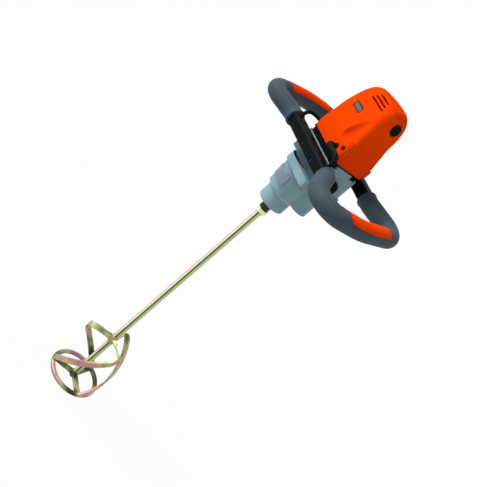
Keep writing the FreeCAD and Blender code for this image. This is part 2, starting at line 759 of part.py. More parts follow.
fan_disc = ring("fan_disc", "motor_shaft + press_gap", "fan_radius", "fan_base", "fan_base + 2", *MOTOR)
fan_hub = ring("fan_hub", "motor_shaft + press_gap", "motor_shaft + 4", "fan_base",
               "fan_base + fan_height", *MOTOR)
fan_blades = []
for i in range(int(dim("fan_blades"))):
    blade = block("fan_blade_%d" % i, ("0", "fan_radius - 14"), ("0", "1.8"),
                  ("fan_base + 1", "fan_base + fan_height"))
    turn = 360 * i / int(dim("fan_blades"))
    blade.Placement.Rotation = Rotation(Vector(0, 0, 1), turn)
    fan_blades.append(place(blade, "13 * cos(%g deg)" % turn, "motor_offset + 13 * sin(%g deg)" % turn,
                            "fan_base + 1"))
keep(joined("fan_solid", fan_disc, fan_hub, *fan_blades), "cooling_fan")

bearing("motor_lower_bearing", "lay_journal", "small_race", MOTOR_RACE_BASE, "small_race_width", *MOTOR)
bearing("motor_upper_bearing", "lay_journal", "small_race", CROWN_RACE_BASE, "small_race_width", *MOTOR)

# Motor housing: skirt, body, crown, corner pod and brush bosses
CROWN_STEPS = ((-0.45, -0.185, 0, 0.16), (-0.3, -0.12, 0, 0.1), (-0.15, -0.06, 0, 0.04), (0, 0, 0, 0),
               (0.3, 0.07, 0.08, 0.06), (0.6, 0.2, 0.22, 0.2), (0.82, 0.42, 0.5, 0.45),
               (0.94, 0.72, 0.78, 0.75), (1, 1, 1, 1))
SKIRT_ROUND_RATE = 1.7


def between(start, end, share):
    return "(%s + (%s - %s) * %g)" % (start, end, start, share)


def crown_section(body, height, half, front, rear):
    """Rounded section of the crown; the shares say how far it has drawn in towards the top."""
    side = between("body_half", "crown_half", half)
    drawing = sketch(body, "crown_%d" % round(100 + 100 * height),
                     level=between("body_straight", "body_top", height))
    soft = between("body_front_round", "crown_front_round", min(1, 1.4 * max(0, height)))
    round_rear = between("body_rear_round",
                         *(("case_rear_round", -SKIRT_ROUND_RATE * height) if height < 0
                                              else ("crown_rear_round", half)))
    return rounded(drawing, ("-" + side, side),
                   ("-" + between("case_front", "crown_front", front),
                    between("body_rear", "crown_rear", rear)),
                   (soft, soft, round_rear, round_rear))


def crowned_body():
    """Body lofted from the top of the skirt up through ever smaller sections to the crown."""
    body = new_body("housing_body")
    plan = rounded(sketch(body, "body_plan", level="skirt_top"), CASE_X, CASE_Y, CASE_ROUNDS)
    sections = [crown_section(body, *step) for step in CROWN_STEPS]
    loft = body.newObject("PartDesign::AdditiveLoft", "crown_loft")
    loft.Profile = plan
    loft.Sections = sections
    return body


def scoop_solid():
    """Teardrop that leaves a smooth hollow in the front: round below, drawn out to a point above."""
    edge = "(scoop_radius - scoop_depth)"
    profile = [("0", "scoop_length * %g" % SCOOP_SHAPE[0][0])]
    profile += [("%s + scoop_depth * %g" % (edge, rise), "scoop_length * %g" % along) for along,
                rise in SCOOP_SHAPE]
    profile.append(("0", "scoop_length * %g" % SCOOP_SHAPE[-1][0]))
    drop = turned("scoop", profile)
    drop.Placement.Rotation = Rotation(Vector(0, 1, 0), SCOOP_LEAN)
    return place(drop, "scoop_place", "-case_front - " + edge, "scoop_level")


SCOOP_SHAPE = ((-0.2, 0), (-0.17, 0.4), (-0.11, 0.76), (-0.03, 0.97), (0.05, 1), (0.2, 0.9), (0.5, 0.6),
               (1, 0))
SCOOP_LEAN = 17
skirt = slab("skirt", CASE_X, CASE_Y, ("baffle_top", "skirt_top"), CASE_ROUNDS)
pod = slab("pod", ("pod_left", "pod_right"), ("-case_front - pod_rise", "0"), ("baffle_top", "pod_top"),
           ("pod_round", "pod_round * 2", "pod_round / 3", "pod_round / 3"))
BRUSH = ("motor_offset", "brush_level")
MOTOR_SPACE_TOP = "(%s + coil_end + 1)" % CORE_TOP
brush_boss = side_post("brush_boss", "cap_radius + 2.5", "-cap_seat", "cap_seat", *BRUSH)
CAP_REACH = "(cap_seat + 2 * cap_height)"
cap_recesses = [side_post("cap_recess_%d" % i, "cap_radius + part_gap", *ends, *BRUSH)
                for i, ends in enumerate((("cap_seat", CAP_REACH), ("-" + CAP_REACH, "-cap_seat")))]
crown_way = less("crown_way",
                 post("crown_space", "crown_bore", MOTOR_SPACE_TOP + " - 1", "crown_bore_top", *MOTOR),
                 post("race_boss", "small_race + cast_wall", CROWN_RACE_BASE, "body_top", *MOTOR))
VENT_LEVELS = ["vent_level + %d * vent_pitch" % i for i in range(3)]
vents = [block("vent_%d" % i,
               ("vent_place - (vent_length - %d * vent_step) / 2" % i,
                "vent_place + (vent_length - %d * vent_step) / 2" % i),
               ("-case_front - 5", "motor_offset - crown_bore + 3"), (level, level + " + vent_height"))
         for i, level in enumerate(VENT_LEVELS)]
LUG_DIAGONAL = 0.68
LUG_INSET = " - case_rear_round + %g * (case_rear_round - lug_radius + lug_rise)" % LUG_DIAGONAL
rest_lug = post("rest_lug", "lug_radius", "baffle_top + 8", "baffle_top + 22",
                *[edge + LUG_INSET for edge in ("case_half", CASE_REAR)])
shoulder_slots = [block("shoulder_slot_%d" % i, ("crown_half - 6", "body_half"),
                        ("%d" % y, "%g" % (y + 2.4)),
                        ("body_top - 9", "body_top + 1")) for i, y in enumerate((3, 10))]
LABEL_X = ("-label_place - label_width / 2", "label_width / 2 - label_place")
LABEL_Z = ("label_level - label_height / 2", "label_level + label_height / 2")
label_recess = block("label_recess", LABEL_X, ("-case_front - 5", "-label_depth"), LABEL_Z)
POD_FRONT = "(-case_front - pod_rise)"


def front_post(name, radius, low, high, x, z):
    """Cylinder along Y between two places."""
    cylinder = post(name, radius, low, high)
    cylinder.Placement.Rotation = Rotation(Vector(1, 0, 0), -90)
    return place(cylinder, x, low, z)


POD_SCREW = ("pod_screw_place", "pod_screw_level")
LEFT_ENTRY = ("10 - case_front", "baffle_top + 7")
RIGHT_ENTRY = ("24", "baffle_top + 12")
CONDUIT_HOLE = "conduit_radius + part_gap"

keep(less("motor_housing_cut", joined("housing_blank", skirt, crowned_body(), pod, brush_boss, rest_lug),
          post("motor_space", "motor_bore", "baffle_top - 1", MOTOR_SPACE_TOP, *MOTOR), crown_way,
          post("crown_race_pocket", "small_race + press_gap", CROWN_RACE_BASE + " - 1",
               CROWN_RACE_BASE + " + small_race_width + part_gap", *MOTOR),
          side_post("brush_bore", "holder_radius + press_gap", "-cap_seat - 1", "cap_seat + 1", *BRUSH),
          *cap_recesses, *vents, label_recess, scoop_solid(), *shoulder_slots,
          front_post("pod_recess", "screw_head + 0.5", POD_FRONT + " - 1", POD_FRONT + " + 9",
                     *POD_SCREW),
          front_post("pod_bore", "screw_radius + press_gap", POD_FRONT, POD_FRONT + " + 24", *POD_SCREW),
          side_post("left_entry", CONDUIT_HOLE, "-case_half - 1", "conduit_sink + part_gap - case_half",
                    *LEFT_ENTRY),
          front_post("right_entry", CONDUIT_HOLE, "-case_front - 1",
                     "conduit_sink + part_gap - case_front", *RIGHT_ENTRY)),
     "motor_housing")
keep(joined("pod_screw",
            front_post("pod_shank", "screw_radius", POD_FRONT + " + 10", POD_FRONT + " + 23", *POD_SCREW),
            front_post("pod_head", "screw_head", POD_FRONT + " + 5", POD_FRONT + " + 9", *POD_SCREW),
            front_post("pod_neck", "screw_radius", POD_FRONT + " + 8", POD_FRONT + " + 11", *POD_SCREW)),
            "housing_screw")
keep(block("label_strip", (LABEL_X[0] + " + part_gap", LABEL_X[1] + " - part_gap"),
           ("-label_depth - 1.5", "-label_depth"),
           (LABEL_Z[0] + " + part_gap", LABEL_Z[1] + " - part_gap")), "label_plate")

# Stator and field coils
YOKE = "(motor_bore - 5.5)"
POLE_IN = "(core_radius + air_gap)"
LEG = "((%s + %s) / 2)" % (POLE_IN, YOKE)
LEG_RADIUS = "((%s - %s) / 2 - 0.6)" % (YOKE, POLE_IN)
yoke = ring("yoke", YOKE, "motor_bore - press_gap", "core_base", CORE_TOP, *MOTOR)
pole_bar = doc.addObject("Part::Common", "pole_bar")
pole_bar.Base = ring("pole_ring", POLE_IN, YOKE + " + 1", "core_base", CORE_TOP, *MOTOR)
pole_bar.Tool = block("pole_limits", ("-core_radius * 0.6", "core_radius * 0.6"),
                      ("motor_offset - motor_bore", "motor_offset + motor_bore"),
                      ("core_base - 1", CORE_TOP + " + 1"))
keep(joined("stator", yoke, pole_bar), "stator_core")


def field_coil(name, side):
    """Two legs beside a pole, joined by a bar above and below the core."""
    reach = "(%s * sin(45 deg))" % LEG
    middle = "(motor_offset %s %s)" % (side, reach)
    legs = [post("%s_leg_%d" % (name, i), LEG_RADIUS, "core_base - coil_end", CORE_TOP + " + coil_end",
                 sign + reach, middle)
            for i, sign in enumerate(("-", ""))]
    y = (middle, middle + " + 6") if side == "+" else (middle + " - 6", middle)
    bars = [block("%s_bar_%d" % (name, i), ("-" + reach, reach), y, z)
            for i,
            z in enumerate((("core_base - coil_end", "core_base - part_gap"),
                            (CORE_TOP + " + part_gap", CORE_TOP + " + coil_end")))]
    return joined(name, *legs, *bars)


coils = doc.addObject("Part::Compound", "coils")
coils.Links = [field_coil("coil_front", "-"), field_coil("coil_rear", "+")]
keep(coils, "field_coils")

# Brushes, holders and caps on both sides
HALF_BRUSH = "brush_side / 2"


def pair(label, piece):
    """The same piece on the right and on the left of the motor."""
    both = doc.addObject("Part::Compound", label + "_pair")
    both.Links = [piece("right", ""), piece("left", "-")]
    return keep(both, label)


def limits(sign, near, far):
    return (near, far) if not sign else ("-(%s)" % far, "-(%s)" % near)


def brush_box(name, sign, near, far, half):
    return block(name, limits(sign, near, far), ("motor_offset - (%s)" % half, "motor_offset + " + half),
                 ("brush_level - (%s)" % half, "brush_level + " + half))


HOLDER_IN = "commutator_radius + 3"
BRUSH_END = "commutator_radius + 14"
pair("brush_holders", lambda side, sign: less(
    "holder_" + side,
    side_post("holder_body_" + side, "holder_radius", *limits(sign, HOLDER_IN, "cap_seat"), *BRUSH),
    brush_box("holder_way_" + side, sign, "commutator_radius", "cap_seat + 1",
              "brush_side / 2 + press_gap")))
pair("carbon_brushes", lambda side,
     sign: brush_box("brush_" + side, sign, "commutator_radius + run_gap", BRUSH_END, HALF_BRUSH))
pair("brush_caps", lambda side, sign: less(
    "cap_" + side,
    side_post("cap_body_" + side, "cap_radius", *limits(sign, "cap_seat", "cap_seat + cap_height"),
              *BRUSH),
    block("cap_slot_" + side, limits(sign, "cap_seat + cap_height - 2.5", "cap_seat + cap_height + 1"),
          ("motor_offset - 8", "motor_offset + 8"), ("brush_level - 1.2", "brush_level + 1.2"))))

# Handle bars
OBLONG = 9
LEFT_CONDUIT_FOOT = ("6 - bar_half", "-" + BAR_Y)
RIGHT_CONDUIT_FOOT = ("bar_half - 6", "-" + BAR_Y)


def bar_blank(name, middle):
    """Straight bar with soft long edges."""
    body = new_body(name)
    section = rounded(sketch(body, name + "_section", "YZ_Plane", "-bar_half"),
                      ("%s - bar_depth / 2" % middle, "%s + bar_depth / 2" % middle),
                      ("-bar_height / 2", "bar_height / 2"), ("bar_round",) * 4)
    pad = body.newObject("PartDesign::Pad", name + "_pad")
    pad.Profile = section
    bind(pad, "Length", "2 * bar_half")
    return in_frame(body)


holes = bar_screws("bar_hole", "screw_radius + press_gap", "-bar_depth", "bar_depth")
recesses = bar_screws("bar_recess", "screw_head + 0.5", BAR_SEAT, "bar_depth")
front_holes = holes[:2] + recesses[:2]
rear_holes = holes[2:] + recesses[2:]
oblong = in_frame(slab("oblong", ("-%g" % OBLONG, str(OBLONG)), ("-%s - 4" % BAR_Y, "4 - %s" % BAR_Y),
                       ("%s - 5" % BAR_TOP, "%s + 1" % BAR_TOP), ("3.9", "3.9", "3.9", "3.9")))
CONDUIT_SEAT = "%s - conduit_sink - part_gap" % BAR_TOP
keep(less("front_bar_cut", bar_blank("front_bar_blank", "-" + BAR_Y), *front_holes, oblong,
          frame_post("dimple", "5", BAR_TOP + " - 2", BAR_TOP + " + 1", "-bar_screw_place - 25",
                     "-" + BAR_Y),
          frame_post("left_foot", CONDUIT_HOLE, CONDUIT_SEAT, BAR_TOP + " + 1", *LEFT_CONDUIT_FOOT),
          frame_post("right_foot", CONDUIT_HOLE, CONDUIT_SEAT, BAR_TOP + " + 1", *RIGHT_CONDUIT_FOOT)),
          "front_bar")
keep(less("rear_bar_cut", bar_blank("rear_bar_blank", BAR_Y), *rear_holes), "rear_bar")
keep(joined("bar_screw_set",
            *bar_screws("bar_shank", "screw_radius", SCREW_END + " + part_gap", BAR_SEAT),
            *bar_screws("bar_head", "screw_head", BAR_SEAT, BAR_SEAT + " + screw_head_height")),
            "bar_screws")


# Grip loops
def bent_edges(points, radii):
    """Straight runs between points, joined by tangent arcs of the given radii."""
    edges = []
    start = points[0]
    for before, corner, after, radius in zip(points, points[1:], points[2:], radii):
        back = (before - corner).normalize()
        on = (after - corner).normalize()
        half = back.getAngle(on) / 2
        first, last = [corner + way * (radius / math.tan(half)) for way in (back, on)]
        middle = corner + (back + on).normalize() * (radius / math.sin(half) - radius)
        edges += [Part.LineSegment(start, first).toShape(), Part.Arc(first, middle, last).toShape()]
        start = last
    return edges + [Part.LineSegment(start, points[-1]).toShape()]


def swept(edges, profile):
    return Part.Wire(edges).makePipeShell([profile], True, False)


def round_profile(edge, radius):
    return Part.Wire(Part.makeCircle(radius, edge.valueAt(edge.FirstParameter),
                                     edge.tangentAt(edge.FirstParameter)))


bar_y = worked(BAR_Y)
reach = dim("grip_reach")
LOOP_POINTS = (
    (dim("bar_half"), -bar_y), (dim("bar_half") + 9, -bar_y), (reach - 62, 4 - dim("grip_front")),
    (reach - 8, -dim("grip_front")), (reach, -dim("grip_knee")), (reach - 28, dim("grip_back")),
    (dim("bar_half") + 16, bar_y), (dim("bar_half"), bar_y))
LOOP_RADII = (20, 50, 36, 150, 36, 45)
HALF_TURN = Placement(Vector(), Rotation(Vector(0, 0, 1), 180)).Matrix


def turned_half(shape):
    """Left piece of the handle: the right one turned half round."""
    return shape.transformed(HALF_TURN, copy=True)


loop_edges = bent_edges([Vector(x, y, 0) for x, y in LOOP_POINTS], LOOP_RADII)
loop_solid = swept(loop_edges, round_profile(loop_edges[0], dim("grip_radius")))


# Palm pad: a strip let into the top and inner face of the outer run, slanted at its front end
PAD_EDGES = slice(5, 9)
PAD_LEAN = 89
PAD_SLANT = 33
PAD_END_SHARE = 0.78
PAD_BEND_SHARE = 0.55
PAD_STOCK = 80
PAD_HALF = math.degrees(dim("pad_width") / 2 / dim("grip_radius"))


def pad_profile(edge, inner, outer, half):
    """Part of a ring across the grip, leaning from the outside over the top to the inside."""
    centre = edge.valueAt(edge.FirstParameter)
    out = edge.tangentAt(edge.FirstParameter).cross(Vector(0, 0, 1)).normalize()

    def at(radius, angle):
        turn = math.radians(PAD_LEAN + angle)
        return centre + out * (radius * math.cos(turn)) + Vector(0, 0, radius * math.sin(turn))

    arcs = [Part.Arc(at(radius, -half), at(radius, 0), at(radius, half)).toShape() for radius in (inner,
                                                                                                  outer)]
    sides = [Part.LineSegment(at(inner, angle), at(outer, angle)).toShape() for angle in (-half, half)]
    return Part.Wire(Part.__sortEdges__(arcs + sides))


def length_of(edge, start, end):
    """Piece of an edge between two shares of its length."""
    low, high = edge.FirstParameter, edge.LastParameter
    return edge.Curve.toShape(low + (high - low) * start, low + (high - low) * end)


def strip(gap, rise):
    bend, straight, bow, end = loop_edges[PAD_EDGES]
    edges = [length_of(bend, PAD_BEND_SHARE, 1), straight, bow,
             length_of(end, 0, PAD_END_SHARE + gap / end.Length)]
    inner = dim("grip_radius") - dim("pad_thick") - gap
    half = PAD_HALF + math.degrees(gap / dim("grip_radius"))
    whole = swept(edges, pad_profile(edges[0], inner, dim("grip_radius") + rise, half))
    off = Part.makeBox(2 * PAD_STOCK, PAD_STOCK, 2 * PAD_STOCK,
                       Vector(-PAD_STOCK, -PAD_STOCK - gap, -PAD_STOCK))
    off.Placement = Placement(straight.valueAt(straight.FirstParameter),
                              Rotation(Vector(0, 0, 1), PAD_SLANT))
    return whole.cut(off)


def frame_solid(name, shape):
    """Free-form solid of the handle frame."""
    return in_frame(solid_of(name, shape))


# Trigger, lock button and switch on the straight run behind the palm pad
run_edge = loop_edges[8]
run_middle = run_edge.valueAt((run_edge.FirstParameter + run_edge.LastParameter) / 2)
run_way = run_edge.tangentAt(run_edge.FirstParameter)
frame_place = Placement(Vector(0, worked(FRAME_Y), worked(FRAME_Z)),
                        Rotation(Vector(1, 0, 0), worked(TILT)))
TRIGGER_LEAN = 30
run_turn = Rotation(Vector(0, 0, 1), math.degrees(math.atan2(run_way.y, run_way.x)))
run_place = frame_place * Placement(run_middle, run_turn * Rotation(Vector(1, 0, 0), TRIGGER_LEAN))


def on_run(thing, x="0", y="0", z="0", turn=Rotation()):
    """Sets an object on the run: X along it, Y to the inside of the loop, Z up, both leaning over."""
    thing.Placement = run_place * Placement(Vector(worked(x), worked(y), worked(z)), turn)
    return thing


def run_block(name, x, y, z):
    box = doc.addObject("Part::Box", name)
    for prop, (low, high) in zip(("Length", "Width", "Height"), (x, y, z)):
        bind(box, prop, "(%s) - (%s)" % (high, low))
    return on_run(box, x[0], y[0], z[0])


def cross_post(name, radius, low, high, x, z):
    """Cylinder across the run."""
    cylinder = doc.addObject("Part::Cylinder", name)
    bind(cylinder, "Radius", radius)
    bind(cylinder, "Height", "(%s) - (%s)" % (high, low))
    return on_run(cylinder, x, low, z, Rotation(Vector(1, 0, 0), -90))


TRIGGER_X = ("-trigger_length / 2", "trigger_length / 2")
TRIGGER_Y = ("-trigger_width / 2", "trigger_width / 2")
TRIGGER_Z = ("-grip_radius - trigger_drop", "trigger_height - grip_radius - trigger_drop")
TRIGGER_ROOM = 1.5
TRIGGER_LIFT = 6
PIN_X = "trigger_length / 2 - 5"
PIN_Z = "-grip_radius + 6"
SWITCH_Z = ("%s + %g" % (TRIGGER_Z[1], TRIGGER_LIFT),
            "%s + %g + switch_height" % (TRIGGER_Z[1], TRIGGER_LIFT))


def grown(pair_of_limits, gap):
    return ("%s - %s" % (pair_of_limits[0], gap), "%s + %s" % (pair_of_limits[1], gap))


SWITCH_X = ("-switch_length / 2", "switch_length / 2")
SWITCH_Y = ("1 - trigger_width / 2", "trigger_width / 2 - 1")
LOCK_X = "-trigger_length / 2 + 2"
LOCK_Z = "-5"
LOCK_OUT = "grip_radius + 2"
trigger_pocket = run_block("trigger_pocket", grown(TRIGGER_X, TRIGGER_ROOM), grown(TRIGGER_Y, "part_gap"),
                           ("-grip_radius - 1", SWITCH_Z[0]))
switch_pocket = run_block("switch_pocket", grown(SWITCH_X, "part_gap"), grown(SWITCH_Y, "part_gap"),
                          (SWITCH_Z[0] + " - 1", SWITCH_Z[1] + " + part_gap"))
pin_bore = cross_post("pin_bore", "trigger_pin + press_gap", "-12 - part_gap", "12 + part_gap", PIN_X,
                      PIN_Z)
lock_bore = cross_post("lock_bore", "lock_radius + run_gap",
                       LOCK_OUT + " - lock_height - lock_travel - part_gap",
                       "grip_radius + 5", LOCK_X, LOCK_Z)
PAD_GAP = 0.05
PAD_RISE = 1
pad_way = strip(PAD_GAP, 2)
palm_strip = strip(0, PAD_RISE)
keep(less("right_grip_cut", frame_solid("right_loop", loop_solid), frame_solid("right_pad_way", pad_way),
          trigger_pocket, switch_pocket, pin_bore, lock_bore), "right_grip")
keep(less("left_grip_cut", frame_solid("left_loop", turned_half(loop_solid)),
          frame_solid("left_pad_way", turned_half(pad_way))), "left_grip")
keep(frame_solid("right_strip", palm_strip), "right_palm_pad")
keep(frame_solid("left_strip", turned_half(palm_strip)), "left_palm_pad")
keep(less("trigger_cut", run_block("trigger_blank", TRIGGER_X, TRIGGER_Y, TRIGGER_Z),
          cross_post("trigger_bore", "trigger_pin + run_gap", "-trigger_width", "trigger_width", PIN_X,
                     PIN_Z)), "trigger")
keep(cross_post("pin", "trigger_pin", "-12", "12", PIN_X, PIN_Z), "trigger_pin")
keep(run_block("switch_box", SWITCH_X, SWITCH_Y, SWITCH_Z), "switch_body")
keep(cross_post("lock", "lock_radius", LOCK_OUT + " - lock_height", LOCK_OUT, LOCK_X, LOCK_Z),
     "lock_button")


# Wiring conduits between the front bar and the motor housing
def frame_point(x, y, z):
    return frame_place.multVec(Vector(worked(x), worked(y), worked(z)))


def conduit(label, foot, entry, way_in, radius):
    """Rubber tube that leaves the bar upwards, arches over and enters the housing."""
    start = frame_point(*foot, BAR_TOP + " - conduit_sink")
    rise = Vector(start.x, start.y, entry.z)
    corner = Vector(rise.x, entry.y, entry.z) if abs(way_in.x) else Vector(entry.x, rise.y, entry.z)
    edges = bent_edges([start, rise, corner, entry], (radius, radius))
    return keep(solid_of(label + "_tube", swept(edges, round_profile(edges[0], dim("conduit_radius")))),
                label)


CONDUIT_BEND = 13
left_end = Vector(worked("conduit_sink - case_half"), worked(LEFT_ENTRY[0]), worked(LEFT_ENTRY[1]))
right_end = Vector(worked(RIGHT_ENTRY[0]), worked("conduit_sink - case_front"), worked(RIGHT_ENTRY[1]))
conduit("left_conduit", LEFT_CONDUIT_FOOT, left_end, Vector(1, 0, 0), CONDUIT_BEND)
conduit("right_conduit", RIGHT_CONDUIT_FOOT, right_end, Vector(0, 1, 0), CONDUIT_BEND)

# Mixing rod with its stud and lock nut
ROD_TOP = "(-spindle_reach - nut_height)"
RING_LEVEL = "(-spindle_reach - rod_length)"
HUB_LEVEL = "(%s + paddle_height)" % RING_LEVEL
keep(joined("rod_solid", hexagon("rod_bar", "rod_across", RING_LEVEL + " - rod_nub", ROD_TOP),
            post("rod_stud", "stud_radius", ROD_TOP + " - 6", "stud_length - spindle_reach")),
            "mixing_rod")
keep(less("nut_cut", hexagon("nut_blank", "nut_across", ROD_TOP, "-spindle_reach"),
          post("nut_bore", "stud_radius + press_gap", ROD_TOP + " - 1", "1 - spindle_reach")), "lock_nut")

# Paddle: three flat bars that leave the upper hub as spokes, bend over and wind down to the ring
BLADES = 3
HELIX_STEPS = 14
BEND_STEPS = 4
blade_radius = dim("paddle_radius") - dim("blade_thick") / 2
wind = math.radians(dim("blade_wind"))
slope = math.atan2(dim("paddle_height"), blade_radius * wind)
BLADE_END = 1


def blade_section(top_angle, radius, along, lean):
    """Rectangle across a blade, at a radius and a length down the helix; lean turns spoke to helix."""
    angle = top_angle - along * math.cos(slope) / blade_radius
    out = Vector(math.cos(angle), math.sin(angle), 0)
    down = Vector(out.y * math.cos(slope), -out.x * math.cos(slope), -math.sin(slope))
    centre = out * radius + Vector(0, 0, worked(HUB_LEVEL) - along * math.sin(slope))
    face = out * math.sin(lean) - down * math.cos(lean)
    wide = down.cross(out) * (dim("blade_width") / 2)
    thick = face * (dim("blade_thick") / 2)
    return Part.makePolygon([centre + wide + thick, centre - wide + thick, centre - wide - thick,
                             centre + wide - thick, centre + wide + thick])


def blade(top_angle):
    bend = dim("blade_bend")
    sections = [blade_section(top_angle, radius, 0, 0)
                for radius in (dim("hub_radius") - 1, (blade_radius - bend) / 2)]
    for i in range(BEND_STEPS + 1):
        lean = math.pi / 2 * i / BEND_STEPS
        sections.append(blade_section(top_angle, blade_radius - bend * (1 - math.sin(lean)),
                                      bend * (1 - math.cos(lean)), lean))
    length = (dim("paddle_height") - BLADE_END) / math.sin(slope) - bend
    for i in range(1, HELIX_STEPS + 1):
        sections.append(blade_section(top_angle, blade_radius, bend + length * i / HELIX_STEPS,
                                      math.pi / 2))
    return Part.makeLoft(sections, True, False)


BLADE_ANGLES = [math.radians(dim("blade_phase") + 360 * i / BLADES) for i in range(BLADES)]
RING_CENTRE = "(paddle_radius - ring_bar / 2)"


def ring_torus(name, gap):
    torus = doc.addObject("Part::Torus", name)
    bind(torus, "Radius1", RING_CENTRE)
    bind(torus, "Radius2", "ring_bar / 2 + " + gap)
    return place(torus, "0", "0", RING_LEVEL)


keep(ring_torus("ring_solid", "0"), "paddle_ring")
upper_hub = less("upper_hub", post("upper_hub_blank", "hub_radius", HUB_LEVEL + " - hub_height / 2",
                                   HUB_LEVEL + " + hub_height / 2"),
                 hexagon("upper_rod_way", "rod_across + 2 * press_gap", HUB_LEVEL + " - hub_height",
                         ROD_TOP))
RING_TOP = "(%s + ring_bar / 2)" % RING_LEVEL
seated_blades = [less("seated_blade_%d" % i, solid_of("blade_%d" % i, blade(angle)),
                      post("blade_%d_floor" % i, "2 * paddle_radius", RING_LEVEL + " - paddle_height",
                           RING_TOP + " + press_gap")) for i, angle in enumerate(BLADE_ANGLES)]
keep(joined("blades_solid", upper_hub, *seated_blades), "paddle_blades")

spokes = []
for i, top_angle in enumerate(BLADE_ANGLES):
    spoke = block("spoke_%d" % i, ("0", RING_CENTRE), ("-blade_width / 2", "blade_width / 2"),
                  (RING_LEVEL + " - blade_thick / 2", RING_LEVEL + " + blade_thick / 2"))
    heading = math.degrees(top_angle - wind)
    spoke.Placement.Rotation = Rotation(Vector(0, 0, 1), heading)
    place(spoke, "blade_width / 2 * sin(%g deg)" % heading, "-blade_width / 2 * cos(%g deg)" % heading,
          RING_LEVEL + " - blade_thick / 2")
    spokes.append(spoke)
keep(less("spokes_cut", joined(
    "spokes_blank",
    post("lower_hub", "hub_radius", RING_LEVEL + " - hub_height / 3", RING_LEVEL + " + hub_height / 3"),
    *spokes),
    hexagon("spoke_rod_way", "rod_across + 2 * press_gap", RING_LEVEL + " - hub_height", ROD_TOP),
    ring_torus("spoke_ring_way", "press_gap")), "paddle_spokes")


# Check and write
doc.recompute()
for thing in doc.Objects:
    if {"Invalid", "Error"} & set(thing.State):
        raise RuntimeError("%s failed: %s" % (thing.Name, thing.State))
for thing in sub_parts:
    if thing.Shape.isNull() or not thing.Shape.isValid():
        raise RuntimeError("%s has no valid shape" % thing.Label)
for thing in sub_parts:
    thing.Shape.exportStep("parts/%s.step" % thing.Label)
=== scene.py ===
import json
import math

import bpy
from mathutils import Matrix, Quaternion, Vector


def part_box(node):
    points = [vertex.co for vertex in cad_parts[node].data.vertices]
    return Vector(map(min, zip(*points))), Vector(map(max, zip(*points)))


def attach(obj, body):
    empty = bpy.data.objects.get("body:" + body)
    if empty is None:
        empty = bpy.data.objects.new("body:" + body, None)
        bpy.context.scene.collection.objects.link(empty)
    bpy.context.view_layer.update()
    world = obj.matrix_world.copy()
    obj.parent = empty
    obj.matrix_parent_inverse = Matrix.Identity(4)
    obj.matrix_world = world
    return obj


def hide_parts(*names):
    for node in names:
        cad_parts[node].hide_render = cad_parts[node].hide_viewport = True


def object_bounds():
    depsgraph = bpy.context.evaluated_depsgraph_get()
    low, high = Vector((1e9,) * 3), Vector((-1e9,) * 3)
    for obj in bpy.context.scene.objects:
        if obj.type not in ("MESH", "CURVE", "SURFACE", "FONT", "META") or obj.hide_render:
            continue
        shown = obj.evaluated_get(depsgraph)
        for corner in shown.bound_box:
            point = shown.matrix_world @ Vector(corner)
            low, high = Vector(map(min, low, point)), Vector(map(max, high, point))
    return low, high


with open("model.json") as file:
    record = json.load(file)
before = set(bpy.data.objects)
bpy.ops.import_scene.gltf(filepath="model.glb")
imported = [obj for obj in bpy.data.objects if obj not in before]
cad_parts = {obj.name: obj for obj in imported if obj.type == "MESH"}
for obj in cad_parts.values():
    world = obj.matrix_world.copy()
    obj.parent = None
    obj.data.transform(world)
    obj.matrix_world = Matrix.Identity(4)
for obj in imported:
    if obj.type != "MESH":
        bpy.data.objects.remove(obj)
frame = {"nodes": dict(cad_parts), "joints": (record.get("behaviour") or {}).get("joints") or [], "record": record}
cad_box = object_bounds()
scene = bpy.context.scene
nodes = frame["nodes"]
joints = {joint["name"]: joint for joint in frame["joints"]}

PHOTO_SIDE = 487
MM = 0.001


def corners(node):
    """Lowest and highest corner of a node at rest, in millimetres."""
    return [Vector(corner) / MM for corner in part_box(node)]


def middle(node):
    low, high = corners(node)
    return (low + high) / 2


# Shader wiring
class Value:
    """A node's output socket; arithmetic on it adds Math nodes."""

    def __init__(self, wiring, node, socket):
        self.wiring = wiring
        self.node = node
        self.socket = socket

    def math(self, operation, *others):
        terms = dict(enumerate((self, *others)))
        return self.wiring.add("ShaderNodeMath", {"operation": operation}, terms)

    def after(self, operation, other):
        return self.wiring.add("ShaderNodeMath", {"operation": operation}, {0: other, 1: self})

    def __add__(self, other):
        return self.math("ADD", other)

    def __radd__(self, other):
        return self.after("ADD", other)

    def __sub__(self, other):
        return self.math("SUBTRACT", other)

    def __rsub__(self, other):
        return self.after("SUBTRACT", other)

    def __mul__(self, other):
        return self.math("MULTIPLY", other)

    def __rmul__(self, other):
        return self.after("MULTIPLY", other)

    def above(self, edge, soft):
        """0 below an edge and 1 above it, over a soft width."""
        return self.wiring.add("ShaderNodeMapRange", {"interpolation_type": "SMOOTHSTEP"},
                               {"Value": self, "From Min": edge - soft, "From Max": edge + soft})


